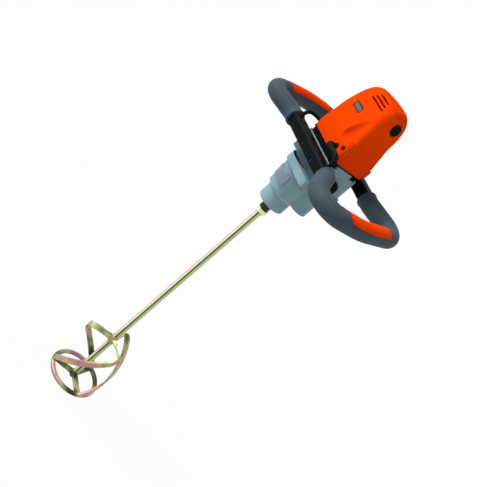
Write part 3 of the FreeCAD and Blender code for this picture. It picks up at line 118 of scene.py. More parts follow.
class Wiring:
    """A node tree that starts empty; every node in it comes from the add method."""

    def __init__(self, tree):
        self.tree = tree
        tree.nodes.clear()

    def add(self, kind, settings=None, sockets=None, output=0):
        """Any node: its type, its settings and the values or links of its sockets."""
        node = self.tree.nodes.new(kind)
        for key, value in (settings or {}).items():
            if key == "stops":
                self.set_stops(node.color_ramp.elements, value)
            else:
                setattr(node, key, value)
        for key, value in (sockets or {}).items():
            self.join(node.inputs[key], value)
        return Value(self, node, node.outputs[output] if node.outputs else None)

    def set_stops(self, elements, stops):
        while len(elements) < len(stops):
            elements.new(0.5)
        for element, (position, colour) in zip(elements, stops):
            element.position = position
            element.color = (*colour, 1)

    def join(self, socket, value):
        if isinstance(value, Value):
            self.tree.links.new(value.socket, socket)
        elif isinstance(value, tuple) and socket.type == "RGBA":
            socket.default_value = (*value, 1)
        else:
            socket.default_value = value

    def showing_backdrop(self):
        """1 for rays that show the white backdrop: seen straight, mirrored or through glass."""
        kinds = ("Is Camera Ray", "Is Glossy Ray", "Is Transmission Ray")
        seen, mirrored, through = (self.add("ShaderNodeLightPath", output=kind) for kind in kinds)
        return seen.math("MAXIMUM", mirrored).math("MAXIMUM", through)


class Finish(Wiring):
    """One node material with a Principled shader, in the coordinates of the shared frame."""

    def __init__(self, name, constants):
        self.material = bpy.data.materials.new(name)
        self.material.use_nodes = True
        super().__init__(self.material.node_tree)
        self.surface = self.add("ShaderNodeBsdfPrincipled")
        self.output = self.add("ShaderNodeOutputMaterial", None, {"Surface": self.surface})
        self.place = self.add("ShaderNodeTexCoord", output="Object")
        for socket, value in constants.items():
            self.feed(socket, value)

    def feed(self, socket, value):
        self.join(self.surface.node.inputs[socket], value)

    def noise(self, scale, detail, where=None):
        return self.add("ShaderNodeTexNoise", None,
                        {"Vector": where or self.place, "Scale": scale, "Detail": detail})

    def cells(self, scale):
        return self.add("ShaderNodeTexVoronoi", {"feature": "F1"}, {"Vector": self.place, "Scale": scale})

    def stretched(self, x, y, z):
        return self.add("ShaderNodeVectorMath", {"operation": "MULTIPLY"}, {0: self.place, 1: (x, y, z)})

    def moved(self, x, y, z):
        return self.add("ShaderNodeVectorMath", {"operation": "ADD"}, {0: self.place, 1: (x, y, z)})

    def axis(self, name):
        return self.add("ShaderNodeSeparateXYZ", None, {0: self.place}, name)

    def mixed(self, share, start, end):
        return self.add("ShaderNodeMix", {"data_type": "RGBA"}, {"Factor": share, 6: start, 7: end}, 2)

    def ramp(self, share, stops):
        return self.add("ShaderNodeValToRGB", {"stops": stops}, {"Fac": share})

    def soft_edges(self, radius):
        return self.add("ShaderNodeBevel", {"samples": 4}, {"Radius": radius})

    # Lighter colour on edges: edge wear together with a painted highlight along the edges
    def worn_and_highlit_edges(self, radius):
        """1 on edges and corners, 0 on plain faces: how far the rounded normal leaves the true one."""
        true = self.add("ShaderNodeNewGeometry", output="Normal")
        agree = self.add("ShaderNodeVectorMath", {"operation": "DOT_PRODUCT"},
                         {0: self.soft_edges(radius), 1: true}, "Value")
        return (1 - agree).above(0.06, soft=0.05)

    def bumps(self, height, strength, depth, edge_radius):
        """Relief of a height on top of softened edges."""
        relief = {"Height": height, "Strength": strength, "Distance": depth,
                  "Normal": self.soft_edges(edge_radius)}
        self.feed("Normal", self.add("ShaderNodeBump", None, relief))


# Finishes: each colour pair is the darker and the lighter shade of one material
CASTING_GREY = (0.225, 0.358, 0.405), (0.295, 0.44, 0.49)
CASTING_WORN_HIGHLIT = (0.60, 0.70, 0.71)
RING_PAINTED_SHADE = (0.12, 0.17, 0.18)
RING_PITCH = 3.4 * MM
TURNED_FROM, TURNED_TO = 68 * MM, 82 * MM


def cast_aluminium(name, turned=False):
    """Grey painted casting; a turned one has tool rings on its barrel, next to the flange, with painted shade in
    their grooves.
    """
    f = Finish(name, {"Metallic": 0.03, "Specular IOR Level": 0.09})
    cloud = f.noise(scale=14, detail=4)
    grain = f.noise(scale=1400, detail=2)
    paint = f.mixed(cloud.above(0.5, soft=0.2), *CASTING_GREY)
    height = grain + 0.6 * f.noise(scale=420, detail=3)
    if turned:
        level = f.axis("Z")
        rings = 0.5 + 0.5 * (level * (math.tau / RING_PITCH)).math("SINE")
        rings = rings * level.above(TURNED_FROM, soft=4 * MM) * (1 - level.above(TURNED_TO, soft=1 * MM))
        # Painted shade: the colour darkens in the grooves of the tool rings
        paint = f.mixed(0.3 * rings, paint, RING_PAINTED_SHADE)
        height = height - 2 * rings
    # Lighter edges: wear and painted highlight
    f.feed("Base Color", f.mixed(0.5 * f.worn_and_highlit_edges(1.2 * MM), paint, CASTING_WORN_HIGHLIT))
    f.feed("Roughness", 0.36 + 0.16 * cloud + 0.06 * grain)
    f.bumps(height, strength=0.16, depth=0.25 * MM, edge_radius=1.4 * MM)
    return f


NAMEPLATE_GREY = (0.19, 0.225, 0.275)
LABEL_GREY = (0.13, 0.125, 0.115)
BRUSHED_GAIN = 1.5


def bare_plate(name, colour):
    """Brushed metal plate with nothing on it."""
    f = Finish(name, {"Metallic": 0.7})
    brush = f.noise(scale=260, detail=3, where=f.stretched(1, 1, 26))
    f.feed("Base Color", f.mixed(brush, colour, tuple(c * BRUSHED_GAIN for c in colour)))
    f.feed("Roughness", 0.34 + 0.2 * brush)
    f.bumps(brush, strength=0.1, depth=0.1 * MM, edge_radius=0.5 * MM)
    return f


SHELL_ORANGE = (0.93, 0.058, 0.001), (1.0, 0.07, 0.002)
SHELL_WORN_HIGHLIT = (1.0, 0.14, 0.02)


def moulded_orange():
    f = Finish("moulded_orange", {"Specular IOR Level": 0.0})
    cloud = f.noise(scale=9, detail=3)
    grain = f.noise(scale=1900, detail=2)
    body = f.mixed(cloud.above(0.5, soft=0.25), *SHELL_ORANGE)
    # Lighter edges: wear and painted highlight
    f.feed("Base Color", f.mixed(0.3 * f.worn_and_highlit_edges(1.5 * MM), body, SHELL_WORN_HIGHLIT))
    f.feed("Roughness", 0.42 + 0.1 * cloud + 0.06 * grain)
    f.bumps(grain, strength=0.1, depth=0.12 * MM, edge_radius=1.8 * MM)
    return f


PAD_ORANGE = (0.94, 0.058, 0.001), (1.0, 0.07, 0.002)


def palm_orange():
    """Soft orange rubber with a fine pimpled face."""
    f = Finish("palm_orange", {"Specular IOR Level": 0.01})
    cloud = f.noise(scale=30, detail=3)
    f.feed("Base Color", f.mixed(cloud, *PAD_ORANGE))
    f.feed("Roughness", 0.52 + 0.18 * cloud)
    f.bumps(f.cells(520), strength=0.35, depth=0.2 * MM, edge_radius=1.2 * MM)
    return f


GRIP_GREY = (0.050, 0.076, 0.097), (0.068, 0.099, 0.124)
GRIP_DUST = (0.115, 0.15, 0.18)


def grip_rubber():
    f = Finish("grip_rubber", {"Specular IOR Level": 0.09})
    cloud = f.noise(scale=22, detail=4)
    grain = f.noise(scale=1300, detail=3)
    dust = f.noise(scale=60, detail=5).above(0.62, soft=0.12)
    f.feed("Base Color", f.mixed(0.2 * dust, f.mixed(cloud, *GRIP_GREY), GRIP_DUST))
    f.feed("Roughness", 0.5 + 0.16 * cloud + 0.08 * grain)
    f.bumps(grain, strength=0.22, depth=0.2 * MM, edge_radius=1.5 * MM)
    return f


PLASTIC_BLACK = (0.002, 0.0035, 0.0035), (0.004, 0.0065, 0.0065)
CONDUIT_BLACK = (0.004, 0.005, 0.006), (0.009, 0.011, 0.012)
BLACK_WORN_HIGHLIT = (0.04, 0.05, 0.052)


def black_plastic(name, shades):
    f = Finish(name, {"Specular IOR Level": 0.045})
    cloud = f.noise(scale=26, detail=3)
    grain = f.noise(scale=1500, detail=2)
    # Lighter edges: wear and painted highlight
    f.feed("Base Color", f.mixed(0.3 * f.worn_and_highlit_edges(0.9 * MM), f.mixed(cloud, *shades), BLACK_WORN_HIGHLIT))
    f.feed("Roughness", 0.4 + 0.14 * cloud + 0.08 * grain)
    f.bumps(grain, strength=0.14, depth=0.15 * MM, edge_radius=1.0 * MM)
    return f


PINK, PALE_PINK, MAUVE = (0.52, 0.27, 0.23), (0.72, 0.45, 0.37), (0.36, 0.22, 0.30)
DARK_OLIVE, OLIVE, PALE_OLIVE = (0.035, 0.045, 0.02), (0.17, 0.19, 0.07), (0.36, 0.40, 0.18)
STRAW, CREAM, IVORY = (0.53, 0.42, 0.25), (0.92, 0.80, 0.62), (0.95, 0.93, 0.66)
YELLOW_GREEN, PALE_YELLOW = (0.60, 0.66, 0.30), (0.86, 0.86, 0.54)
LEAF, DARK_LEAF = (0.42, 0.62, 0.32), (0.05, 0.13, 0.025)
ZINC_WORN_HIGHLIT = (0.62, 0.66, 0.40)
PADDLE_PATCHES = ((0.18, DARK_OLIVE), (0.33, OLIVE), (0.46, PALE_OLIVE), (0.57, STRAW), (0.68, PINK),
                  (0.85, MAUVE))
# Rod colours round each pair of faces: zinc tints with painted light and shade, pale pink and cream faces and a
# pale yellow painted highlight on one side, dark painted shade on the other
ROD_TINTS_LIT_AND_SHADED = ((0.02, PALE_PINK), (0.12, PALE_PINK), (0.22, CREAM), (0.42, PALE_YELLOW),
             (0.52, DARK_LEAF), (0.66, DARK_LEAF), (0.76, LEAF), (0.98, LEAF))
NUT_PATCHES = ((0.1, YELLOW_GREEN), (0.45, PALE_YELLOW), (0.9, IVORY))
PATCH_SHIFT = (-50 * MM, 60 * MM, 30 * MM)
FACE_PAIRS = 3


def zinc_plate(name, stops, by_face=False):
    """Yellow passivated zinc: its colours lie in patches, or run round a hexagon by pairs of faces, where the zinc
    tints carry painted light and shade.
    """
    f = Finish(name, {"Metallic": 0.72})
    patch = f.noise(scale=17, detail=2, where=f.moved(*PATCH_SHIFT))
    streak = f.noise(scale=500, detail=3, where=f.stretched(1, 1, 0.04))
    if by_face:
        # Colour by face angle: painted light and shade on the rod's faces
        turn = f.axis("Y").math("ARCTAN2", f.axis("X"))
        share = (turn * (FACE_PAIRS / math.tau)).math("FRACT")
    else:
        share = patch.above(0.5, soft=0.3)
    tint = f.ramp(share + 0.06 * (streak - 0.5), stops)
    # Lighter edges: wear and painted highlight
    f.feed("Base Color", f.mixed(0.35 * f.worn_and_highlit_edges(0.8 * MM), tint, ZINC_WORN_HIGHLIT))
    f.feed("Roughness", 0.38 + 0.2 * streak + 0.1 * patch)
    f.bumps(streak, strength=0.08, depth=0.12 * MM, edge_radius=0.6 * MM)
    return f


METAL_EDGE = 0.4 * MM
METAL_WORN_HIGHLIT_GAIN = 1.6


def plain_metal(name, dark, light, metallic, rough):
    f = Finish(name, {"Metallic": metallic})
    cloud = f.noise(scale=180, detail=4)
    # Lighter edge colour: wear and painted highlight
    worn_highlit = tuple(min(1, c * METAL_WORN_HIGHLIT_GAIN) for c in light)
    f.feed("Base Color", f.mixed(0.4 * f.worn_and_highlit_edges(METAL_EDGE), f.mixed(cloud, dark, light), worn_highlit))
    f.feed("Roughness", rough + 0.18 * cloud)
    f.bumps(cloud, strength=0.08, depth=0.1 * MM, edge_radius=METAL_EDGE)
    return f


FINISHES = {
    "casting": cast_aluminium("cast_aluminium"),
    "nameplate": bare_plate("nameplate_grey", NAMEPLATE_GREY),
    "orange_shell": moulded_orange(),
    "palm_rubber": palm_orange(),
    "black_plastic": black_plastic("black_plastic", PLASTIC_BLACK),
    "grip_rubber": grip_rubber(),
    "conduit_rubber": black_plastic("conduit_rubber", CONDUIT_BLACK),
    "zinc_steel": zinc_plate("zinc_paddle", PADDLE_PATCHES),
    "black_steel": plain_metal("blackened_steel", (0.006, 0.009, 0.008), (0.016, 0.022, 0.02), 0.5, 0.3),
    "bright_steel": plain_metal("bright_steel", (0.50, 0.51, 0.52), (0.66, 0.67, 0.68), 0.95, 0.22),
    "gear_steel": plain_metal("gear_steel", (0.36, 0.36, 0.37), (0.50, 0.50, 0.51), 0.95, 0.28),
    "bearing_steel": plain_metal("bearing_steel", (0.55, 0.56, 0.58), (0.70, 0.71, 0.73), 1.0, 0.15),
    "core_steel": plain_metal("core_laminations", (0.16, 0.165, 0.175), (0.26, 0.27, 0.28), 0.8, 0.4),
    "copper": plain_metal("wound_copper", (0.45, 0.17, 0.07), (0.62, 0.27, 0.12), 0.9, 0.3),
    "brass": plain_metal("holder_brass", (0.52, 0.36, 0.11), (0.66, 0.48, 0.18), 0.95, 0.26),
    "carbon": plain_metal("brush_carbon", (0.010, 0.010, 0.011), (0.028, 0.028, 0.03), 0.2, 0.5),
}
DARK_SCREWS = plain_metal("dark_screws", (0.02, 0.02, 0.022), (0.05, 0.05, 0.055), 0.7, 0.3)
DULL_SCREWS = plain_metal("dull_screws", (0.13, 0.16, 0.17), (0.20, 0.24, 0.25), 0.5, 0.45)
NODE_FINISHES = {
    "nose_casting": cast_aluminium("turned_casting", turned=True),
    "mixing_rod": zinc_plate("zinc_rod", ROD_TINTS_LIT_AND_SHADED, by_face=True),
    "lock_nut": zinc_plate("zinc_nut", NUT_PATCHES),
    "label_plate": bare_plate("label_plate_grey", LABEL_GREY),
    "flange_screws": DULL_SCREWS,
    "bar_screws": DARK_SCREWS,
    "housing_screw": DARK_SCREWS,
}
for subpart in frame["record"]["subparts"]:
    finish = NODE_FINISHES.get(subpart["node"], FINISHES[subpart["material_slot"]])
    coats = nodes[subpart["node"]].data.materials
    coats.clear()
    coats.append(finish.material)


# Tools for the added pieces, in millimetres
def circle(radius, level, sides=24):
    return [Vector((radius * math.cos(a), radius * math.sin(a), level))
            for a in (math.tau * i / sides for i in range(sides))]


def six_sided(across, level, sides=24):
    """Hexagon with as many points as a circle, so that the two can be joined."""
    ring = []
    for i in range(sides):
        angle = math.tau * i / sides
        reach = across / 2 / math.cos((angle + math.pi / 6) % (math.pi / 3) - math.pi / 6)
        ring.append(Vector((reach * math.cos(angle), reach * math.sin(angle), level)))
    return ring


def facing(way, place):
    """Placement whose Z axis points a given way."""
    return Matrix.Translation(Vector(place)) @ Vector(way).to_track_quat("Z", "Y").to_matrix().to_4x4()


def bent_path(turns, radius, steps=9):
    """Straight runs between turning points, joined by round bends."""
    path = [turns[0]]
    for before, corner, after in zip(turns, turns[1:], turns[2:]):
        way_in, way_out = (corner - before).normalized(), (after - corner).normalized()
        angle = way_in.angle(way_out)
        centre = corner + (way_out - way_in).normalized() * radius / math.cos(angle / 2)
        start = corner - way_in * radius * math.tan(angle / 2) - centre
        bend = way_in.cross(way_out)
        path += [centre + Quaternion(bend, angle * i / steps) @ start for i in range(steps + 1)]
    return path + [turns[-1]]


SHARP_EDGE = math.radians(38)
TIP_SHARE = 0.4
WELD_SCALE_TURN = 2.1


class Skin:
    """Mesh gathered from lofted rings."""

    def __init__(self):
        self.points = []
        self.faces = []

    def loft(self, rings, place=Matrix(), endless=False):
        count = len(rings[0])
        first = len(self.points)
        self.points += [place @ point for ring in rings for point in ring]
        runs = len(rings) if endless else len(rings) - 1
        for i in range(runs):
            low = first + i * count
            high = first + (i + 1) % len(rings) * count
            for j in range(count):
                k = (j + 1) % count
                self.faces.append((low + j, low + k, high + k, high + j))
        if not endless:
            last = first + (len(rings) - 1) * count
            self.faces.append(tuple(range(first + count - 1, first - 1, -1)))
            self.faces.append(tuple(range(last, last + count)))

    def tube(self, path, radius, ripple=0, endless=False, sides=8):
        """Round bead along a path, narrower at open ends; ripple gives it the scales of a weld."""
        rings = []
        for i, point in enumerate(path):
            before = path[i - 1] if endless or i else point
            after = path[(i + 1) % len(path)] if endless or i < len(path) - 1 else point
            girth = radius * (1 + ripple * math.cos(i * WELD_SCALE_TURN))
            if not endless and i in (0, len(path) - 1):
                girth *= TIP_SHARE
            turn = (after - before).to_track_quat("Z", "Y")
            rings.append([point + turn @ spot for spot in circle(girth, 0, sides)])
        self.loft(rings, endless=endless)

    def piece(self, name, finish, body, slot):
        mesh = bpy.data.meshes.new(name)
        mesh.from_pydata([point * MM for point in self.points], [], self.faces)
        mesh.validate()
        mesh.shade_smooth()
        mesh.set_sharp_from_angle(angle=SHARP_EDGE)
        mesh.materials.append(finish.material)
        piece = bpy.data.objects.new(name, mesh)
        scene.collection.objects.link(piece)
        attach(piece, body)
        return piece


# Frame of the handle: it lies at the hand hold, midway between the two bars, and tilts with them
BAR_SPAN = middle("rear_bar") - middle("front_bar")
BAR_Y = BAR_SPAN.length / 2
BAR_HALF = corners("front_bar")[1].x
BAR_TOP = 13
mounts = {mount["name"]: mount for mount in frame["record"]["mounts"]}
HAND_HOLD = Vector(mounts["hand_hold"]["pos_m"]) / MM
HANDLE_TILT = math.atan2(BAR_SPAN.z, BAR_SPAN.y)
HANDLE_FRAME = Matrix.Translation(HAND_HOLD) @ Matrix.Rotation(HANDLE_TILT, 4, "X")

# Hexagon sockets on the screw heads
HEAD_RADIUS, HEAD_RISE, HEAD_CHAMFER = 4.3, 1.5, 0.5
SOCKET_ACROSS, SOCKET_LIP, SOCKET_BREAK, SOCKET_FLOOR = 5, 0.9, 0.2, 0.2
FRONT_SCREWS, REAR_SCREWS = (-6, 40), (-23, 23)
BAR_SCREW_SEAT, BAR_SCREW_LEVEL = 9.5, -4
FLANGE_SCREWS = ((55, -32), (55, 27.05), (-30, 51.35))


def socket_heads(name, places, finish):
    skin = Skin()
    for place in places:
        skin.loft([circle(HEAD_RADIUS, 0),
                   circle(HEAD_RADIUS, HEAD_RISE - HEAD_CHAMFER),
                   circle(HEAD_RADIUS - HEAD_CHAMFER, HEAD_RISE),
                   circle(SOCKET_ACROSS / 2 + SOCKET_LIP, HEAD_RISE),
                   six_sided(SOCKET_ACROSS, HEAD_RISE - SOCKET_BREAK),
                   six_sided(SOCKET_ACROSS, SOCKET_FLOOR)], place)
    skin.piece(name, finish, "tool_body", "bright_steel")


bar_heads = [HANDLE_FRAME @ facing((0, side, 0), (x, side * (BAR_Y + BAR_SCREW_SEAT), BAR_SCREW_LEVEL))
             for side, spots in ((-1, FRONT_SCREWS), (1, REAR_SCREWS)) for x in spots]
socket_heads("bar_screw_sockets", bar_heads, DARK_SCREWS)
housing_head = middle("housing_screw")
housing_head.y = corners("housing_screw")[0].y
socket_heads("housing_screw_socket", [facing((0, -1, 0), housing_head)], DARK_SCREWS)
flange_level = corners("flange_screws")[0].z
flange_heads = [facing((0, 0, -1), (x, y, flange_level)) for x, y in FLANGE_SCREWS]
socket_heads("flange_screw_sockets", flange_heads, DULL_SCREWS)

# Painted shade: a dark dish (inset and level) laid in the round pocket in the front of the bearing plate, and the
# pocket's screw
POCKET_MIDDLE, POCKET_RADIUS, POCKET_REAR = Vector((-6, -8, 0)), 31.3, -24.7
POCKET_FLOOR, POCKET_TOP = 93.1, 98.6
POCKET_STEPS = 16
SHADE_DISH_FLOOR = POCKET_FLOOR + 0.4
SHADE_DISH_PROFILE = ((0.1, POCKET_FLOOR), (0, POCKET_TOP), (0.5, POCKET_TOP), (0.7, POCKET_FLOOR + 0.9),
          (1.4, SHADE_DISH_FLOOR))
POCKET_SCREW = (-9, -31)
# Near-black colour of the dish: painted shade in the pocket
POCKET_PAINTED_SHADE = plain_metal("pocket_painted_shade", (0.010, 0.018, 0.017), (0.02, 0.032, 0.03), 0.1, 0.6)


def pocket_outline(inset, level):
    """Round front of the pocket, closed by its straight rear wall."""
    radius = POCKET_RADIUS - inset
    rear = POCKET_REAR - inset - POCKET_MIDDLE.y
    reach = math.acos(-rear / radius)
    return [POCKET_MIDDLE + Vector((radius * math.sin(a), -radius * math.cos(a), level))
            for a in (reach * (i / POCKET_STEPS - 1) for i in range(2 * POCKET_STEPS + 1))]


# The dish covers the pocket's floor and walls with painted shade
shade_dish_skin = Skin()
shade_dish_skin.loft([pocket_outline(inset, level) for inset, level in SHADE_DISH_PROFILE])
shade_dish_skin.piece("painted_shade_in_pocket", POCKET_PAINTED_SHADE, "tool_body", "casting")
socket_heads("pocket_screw", [facing((0, 0, 1), (*POCKET_SCREW, SHADE_DISH_FLOOR))], DARK_SCREWS)

# Cuffs where the grips meet the bars: radius and distance along the grip
CUFF = ((17.2, 0), (18.1, 0.4), (18.5, 1.4), (18.5, 4.2), (18.1, 5.2), (17.2, 5.6))
CUFF_GAP = 0.2
CUFF_SIDES = 40
for side, end in ((1, "right"), (-1, "left")):
    cuffs = Skin()
    for y in (-BAR_Y, BAR_Y):
        cuffs.loft([circle(radius, level, CUFF_SIDES) for radius, level in CUFF],
                   HANDLE_FRAME @ facing((side, 0, 0), (side * (BAR_HALF + CUFF_GAP), y, 0)))
    cuffs.piece(end + "_grip_cuffs", FINISHES["grip_rubber"], "tool_body", "grip_rubber")

# Bushes round the ends of the conduits: radius and distance out of the hole
BUSH = ((4.0, -1.0), (5.6, -0.6), (5.9, 0.3), (5.6, 1.2), (4.9, 1.6), (4.6, 3.4), (4.1, 4.0))
WIDE_BUSH = 1.3
CONDUIT_RADIUS, CONDUIT_SINK, CONDUIT_BEND = 3.75, 3, 13
FOOT_INSET = 6
left_high = corners("left_conduit")[1]
right_low, right_high = corners("right_conduit")
left_entry = left_high - Vector((CONDUIT_SINK, CONDUIT_RADIUS, CONDUIT_RADIUS))
right_end = Vector((right_low.x + CONDUIT_RADIUS, right_high.y, right_high.z - CONDUIT_RADIUS))
right_entry = right_end - Vector((0, CONDUIT_SINK, 0))
left_foot, right_foot = (facing((0, 0, 1), (side * (BAR_HALF - FOOT_INSET), -BAR_Y, BAR_TOP))
                         for side in (-1, 1))
bushes = Skin()
for girth, place in ((1, facing((-1, 0, 0), left_entry)), (WIDE_BUSH, facing((0, -1, 0), right_entry)),
                     (1, HANDLE_FRAME @ left_foot), (1, HANDLE_FRAME @ right_foot)):
    bushes.loft([circle(girth * radius, level) for radius, level in BUSH], place)
bushes.piece("conduit_bushes", FINISHES["conduit_rubber"], "tool_body", "conduit_rubber")

# Right conduit in its thick sleeve, along the route of its plain solid
SLEEVE_RADIUS = 5.3
SLEEVE_SIDES = 20
right_seat = Vector((right_high.x - CONDUIT_RADIUS, right_low.y + CONDUIT_RADIUS, right_low.z))
sleeve_turns = [right_seat, Vector((right_seat.x, right_seat.y, right_end.z)),
                Vector((right_end.x, right_seat.y, right_end.z)), right_end]
sleeve = Skin()
sleeve.tube(bent_path(sleeve_turns, CONDUIT_BEND), SLEEVE_RADIUS, sides=SLEEVE_SIDES)
sleeved_conduit = sleeve.piece("right_conduit_sleeve", FINISHES["conduit_rubber"], "tool_body",
                               "conduit_rubber")
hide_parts("right_conduit")

# Ribs (radius and level along a rib) and raised rim of the speed knob
KNOB_FACE = 9
RIBS = 20
RIB = ((0.5, 0), (0.95, 0.5), (0.95, 5.6), (0.5, 6.2))
RIB_SIDES = 8
RIB_RADIUS, RIB_LEVEL = 13.3, -7.2
KNOB_RIM_RADIUS, KNOB_RIM_LEVEL, KNOB_RIM_GIRTH = 11.6, 0.1, 0.8
ROUND_STEPS = 40
knob_turn = joints["speed_knob_turn"]
knob_way = Vector(knob_turn["axis"])
knob_place = facing(knob_way, Vector(knob_turn["pos_m"]) / MM + KNOB_FACE * knob_way)
knob = Skin()
for i in range(RIBS):
    spoke = knob_place @ Matrix.Rotation(math.tau * i / RIBS, 4, "Z")
    knob.loft([circle(radius, level, RIB_SIDES) for radius, level in RIB],
              spoke @ Matrix.Translation((RIB_RADIUS, 0, RIB_LEVEL)))
knob.tube([knob_place @ spot for spot in circle(KNOB_RIM_RADIUS, KNOB_RIM_LEVEL, ROUND_STEPS)],
          KNOB_RIM_GIRTH, endless=True)
knob.piece("speed_knob_ribs", FINISHES["black_plastic"], "selector_group", "black_plastic")

# Raised rim of the label plate, with round corners
LABEL_INSET, LABEL_ROUND, LABEL_GIRTH = 2.4, 1.7, 0.75
CORNER_STEP = 15
label_low, label_high = corners("label_plate")
left_x, right_x = label_low.x + LABEL_INSET, label_high.x - LABEL_INSET
low_z, high_z = label_low.z + LABEL_INSET, label_high.z - LABEL_INSET
label_corners = ((right_x, high_z, 0), (left_x, high_z, 90),
                 (left_x, low_z, 180), (right_x, low_z, 270))
label_edge = []
for x, z, start in label_corners:
    for turn in range(start, start + 91, CORNER_STEP):
        angle = math.radians(turn)
        label_edge.append(Vector((x + LABEL_ROUND * math.cos(angle), label_low.y,
                                  z + LABEL_ROUND * math.sin(angle))))
label_rim = Skin()
label_rim.tube(label_edge, LABEL_GIRTH, endless=True)
label_rim.piece("label_plate_rim", FINISHES["black_plastic"], "tool_body", "nameplate")

# Raised rim of the nameplate, on the cone of the barrel
BARREL_LOW, BARREL_LOW_RADIUS = 32, 36.6
BARREL_HIGH, BARREL_HIGH_RADIUS = 79, 40.1
PLATE_ANGLE, PLATE_STEP = 30, 3
PLATE_SIDE_LEVELS = (50, 55, 60, 65, 68)
PLATE_INSET, PLATE_GIRTH = 0.7, 0.55


def on_barrel(angle, level):
    """Point on the face of the nameplate, at an angle from the front."""
    share = (level - BARREL_LOW) / (BARREL_HIGH - BARREL_LOW)
    radius = BARREL_LOW_RADIUS + (BARREL_HIGH_RADIUS - BARREL_LOW_RADIUS) * share
    turn = math.radians(angle)
    return Vector((radius * math.sin(turn), -radius * math.cos(turn), level))


plate_low, plate_high = (corner.z for corner in corners("nameplate"))
plate_low, plate_high = plate_low + PLATE_INSET, plate_high - PLATE_INSET
sweep = range(-PLATE_ANGLE, PLATE_ANGLE + 1, PLATE_STEP)
plate_edge = [on_barrel(angle, plate_low) for angle in sweep]
plate_edge += [on_barrel(PLATE_ANGLE, level) for level in PLATE_SIDE_LEVELS]
plate_edge += [on_barrel(angle, plate_high) for angle in reversed(sweep)]
plate_edge += [on_barrel(-PLATE_ANGLE, level) for level in reversed(PLATE_SIDE_LEVELS)]
plate_rim = Skin()
plate_rim.tube(plate_edge, PLATE_GIRTH, endless=True)
plate_rim.piece("nameplate_rim", FINISHES["nameplate"], "tool_body", "nameplate")

# Weld beads of the paddle: at the blades' feet (radius and height over the ring), the spokes and the rod
BLADES = 3
HUB_HALF = 8
FOOT_LEAD, FOOT_SPREAD = 4.7, 8
FOOT_BEADS = ((59.3, 4.6), (54.7, 5.1))
SPOKE_BEADS = (9.2, 49.6)
SPOKE_FACE, SPOKE_HALF_WIDTH = 2.7, 6
ROD_BEAD_RADIUS, HUB_BEAD, RING_BEAD = 7.2, HUB_HALF + 0.2, 5.5
FOOT_GIRTH, BEAD_GIRTH, BEAD_RIPPLE = 1.5, 1.3, 0.16
ring_level = middle("paddle_ring").z
hub_level = corners("paddle_blades")[1].z - HUB_HALF
beads = Skin()
for i in range(BLADES):
    spoke = math.tau * i / BLADES
    arc = [spoke + math.radians(FOOT_LEAD + a) for a in range(-FOOT_SPREAD, FOOT_SPREAD + 1)]
    for radius, lift in FOOT_BEADS:
        beads.tube([Vector((radius * math.cos(a), radius * math.sin(a), ring_level + lift)) for a in arc],
                   FOOT_GIRTH, BEAD_RIPPLE)
    along = Matrix.Rotation(spoke, 4, "Z")
    for radius in SPOKE_BEADS:
        for lift in (SPOKE_FACE, -SPOKE_FACE):
            beads.tube([along @ Vector((radius, y, ring_level + lift))
                        for y in range(-SPOKE_HALF_WIDTH, SPOKE_HALF_WIDTH + 1)], BEAD_GIRTH, BEAD_RIPPLE)
for level in (hub_level + HUB_BEAD, hub_level - HUB_BEAD, ring_level + RING_BEAD):
    beads.tube(circle(ROD_BEAD_RADIUS, level, ROUND_STEPS), BEAD_GIRTH, BEAD_RIPPLE, endless=True)
beads.piece("paddle_welds", FINISHES["zinc_steel"], "spindle_group", "zinc_steel")

# Moulded trigger with a finger hollow and fine ridges, in place of its plain solid
TRIGGER_LOW, TRIGGER_HIGH, TRIGGER_HALF_WIDTH = -21.4, -8.6, 7.4
# Towards both ends: distance from the middle, and how far the section draws in there
TRIGGER_ENDS = ((22.9, 1.2), (22.4, 0.4))
RIDGE_SPAN, RIDGE_PITCH, RIDGE_HEIGHT = 21, 3, 0.35
FINGER_MIDDLE, FINGER_WIDTH, FINGER_DEPTH = -2, 12, 2.6
SECTION_SIDES, SECTION_SQUARENESS = 24, 0.4
PIN_ALONG, PIN_LEVEL = 18, -11.5


def squared(value):
    """Sine or cosine of a rounded box rather than of a circle."""
    return math.copysign(abs(value) ** SECTION_SQUARENESS, value)


def trigger_section(x, shrink, ridge):
    """Rounded box across the trigger, hollowed from below for the finger."""
    hollow = FINGER_DEPTH * math.exp(-((x - FINGER_MIDDLE) / FINGER_WIDTH) ** 2)
    low = TRIGGER_LOW + shrink + hollow + ridge
    high = TRIGGER_HIGH - shrink
    return [Vector((x, (TRIGGER_HALF_WIDTH - shrink) * squared(math.cos(a)),
                    (low + high) / 2 + (high - low) / 2 * squared(math.sin(a))))
            for a in (math.tau * j / SECTION_SIDES for j in range(SECTION_SIDES))]


pull = joints["trigger_pull"]
across = Vector(pull["axis"]).normalized()
along = across.cross(HANDLE_FRAME.col[2].to_3d()).normalized()
upward = along.cross(across)
run_middle = Vector(pull["pos_m"]) / MM - PIN_ALONG * along - PIN_LEVEL * upward
run_place = Matrix.Translation(run_middle) @ Matrix((along, across, upward)).transposed().to_4x4()
sections = [trigger_section(-x, shrink, RIDGE_HEIGHT) for x, shrink in TRIGGER_ENDS]
sections += [trigger_section(x, 0, RIDGE_HEIGHT * (x % 2))
             for x in range(-RIDGE_SPAN, RIDGE_SPAN + 1, RIDGE_PITCH)]
sections += [trigger_section(x, shrink, RIDGE_HEIGHT) for x, shrink in reversed(TRIGGER_ENDS)]
trigger = Skin()
trigger.loft(sections, run_place)
shaped_trigger = trigger.piece("shaped_trigger", FINISHES["black_plastic"], "trigger_group",
                               "black_plastic")
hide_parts("trigger")

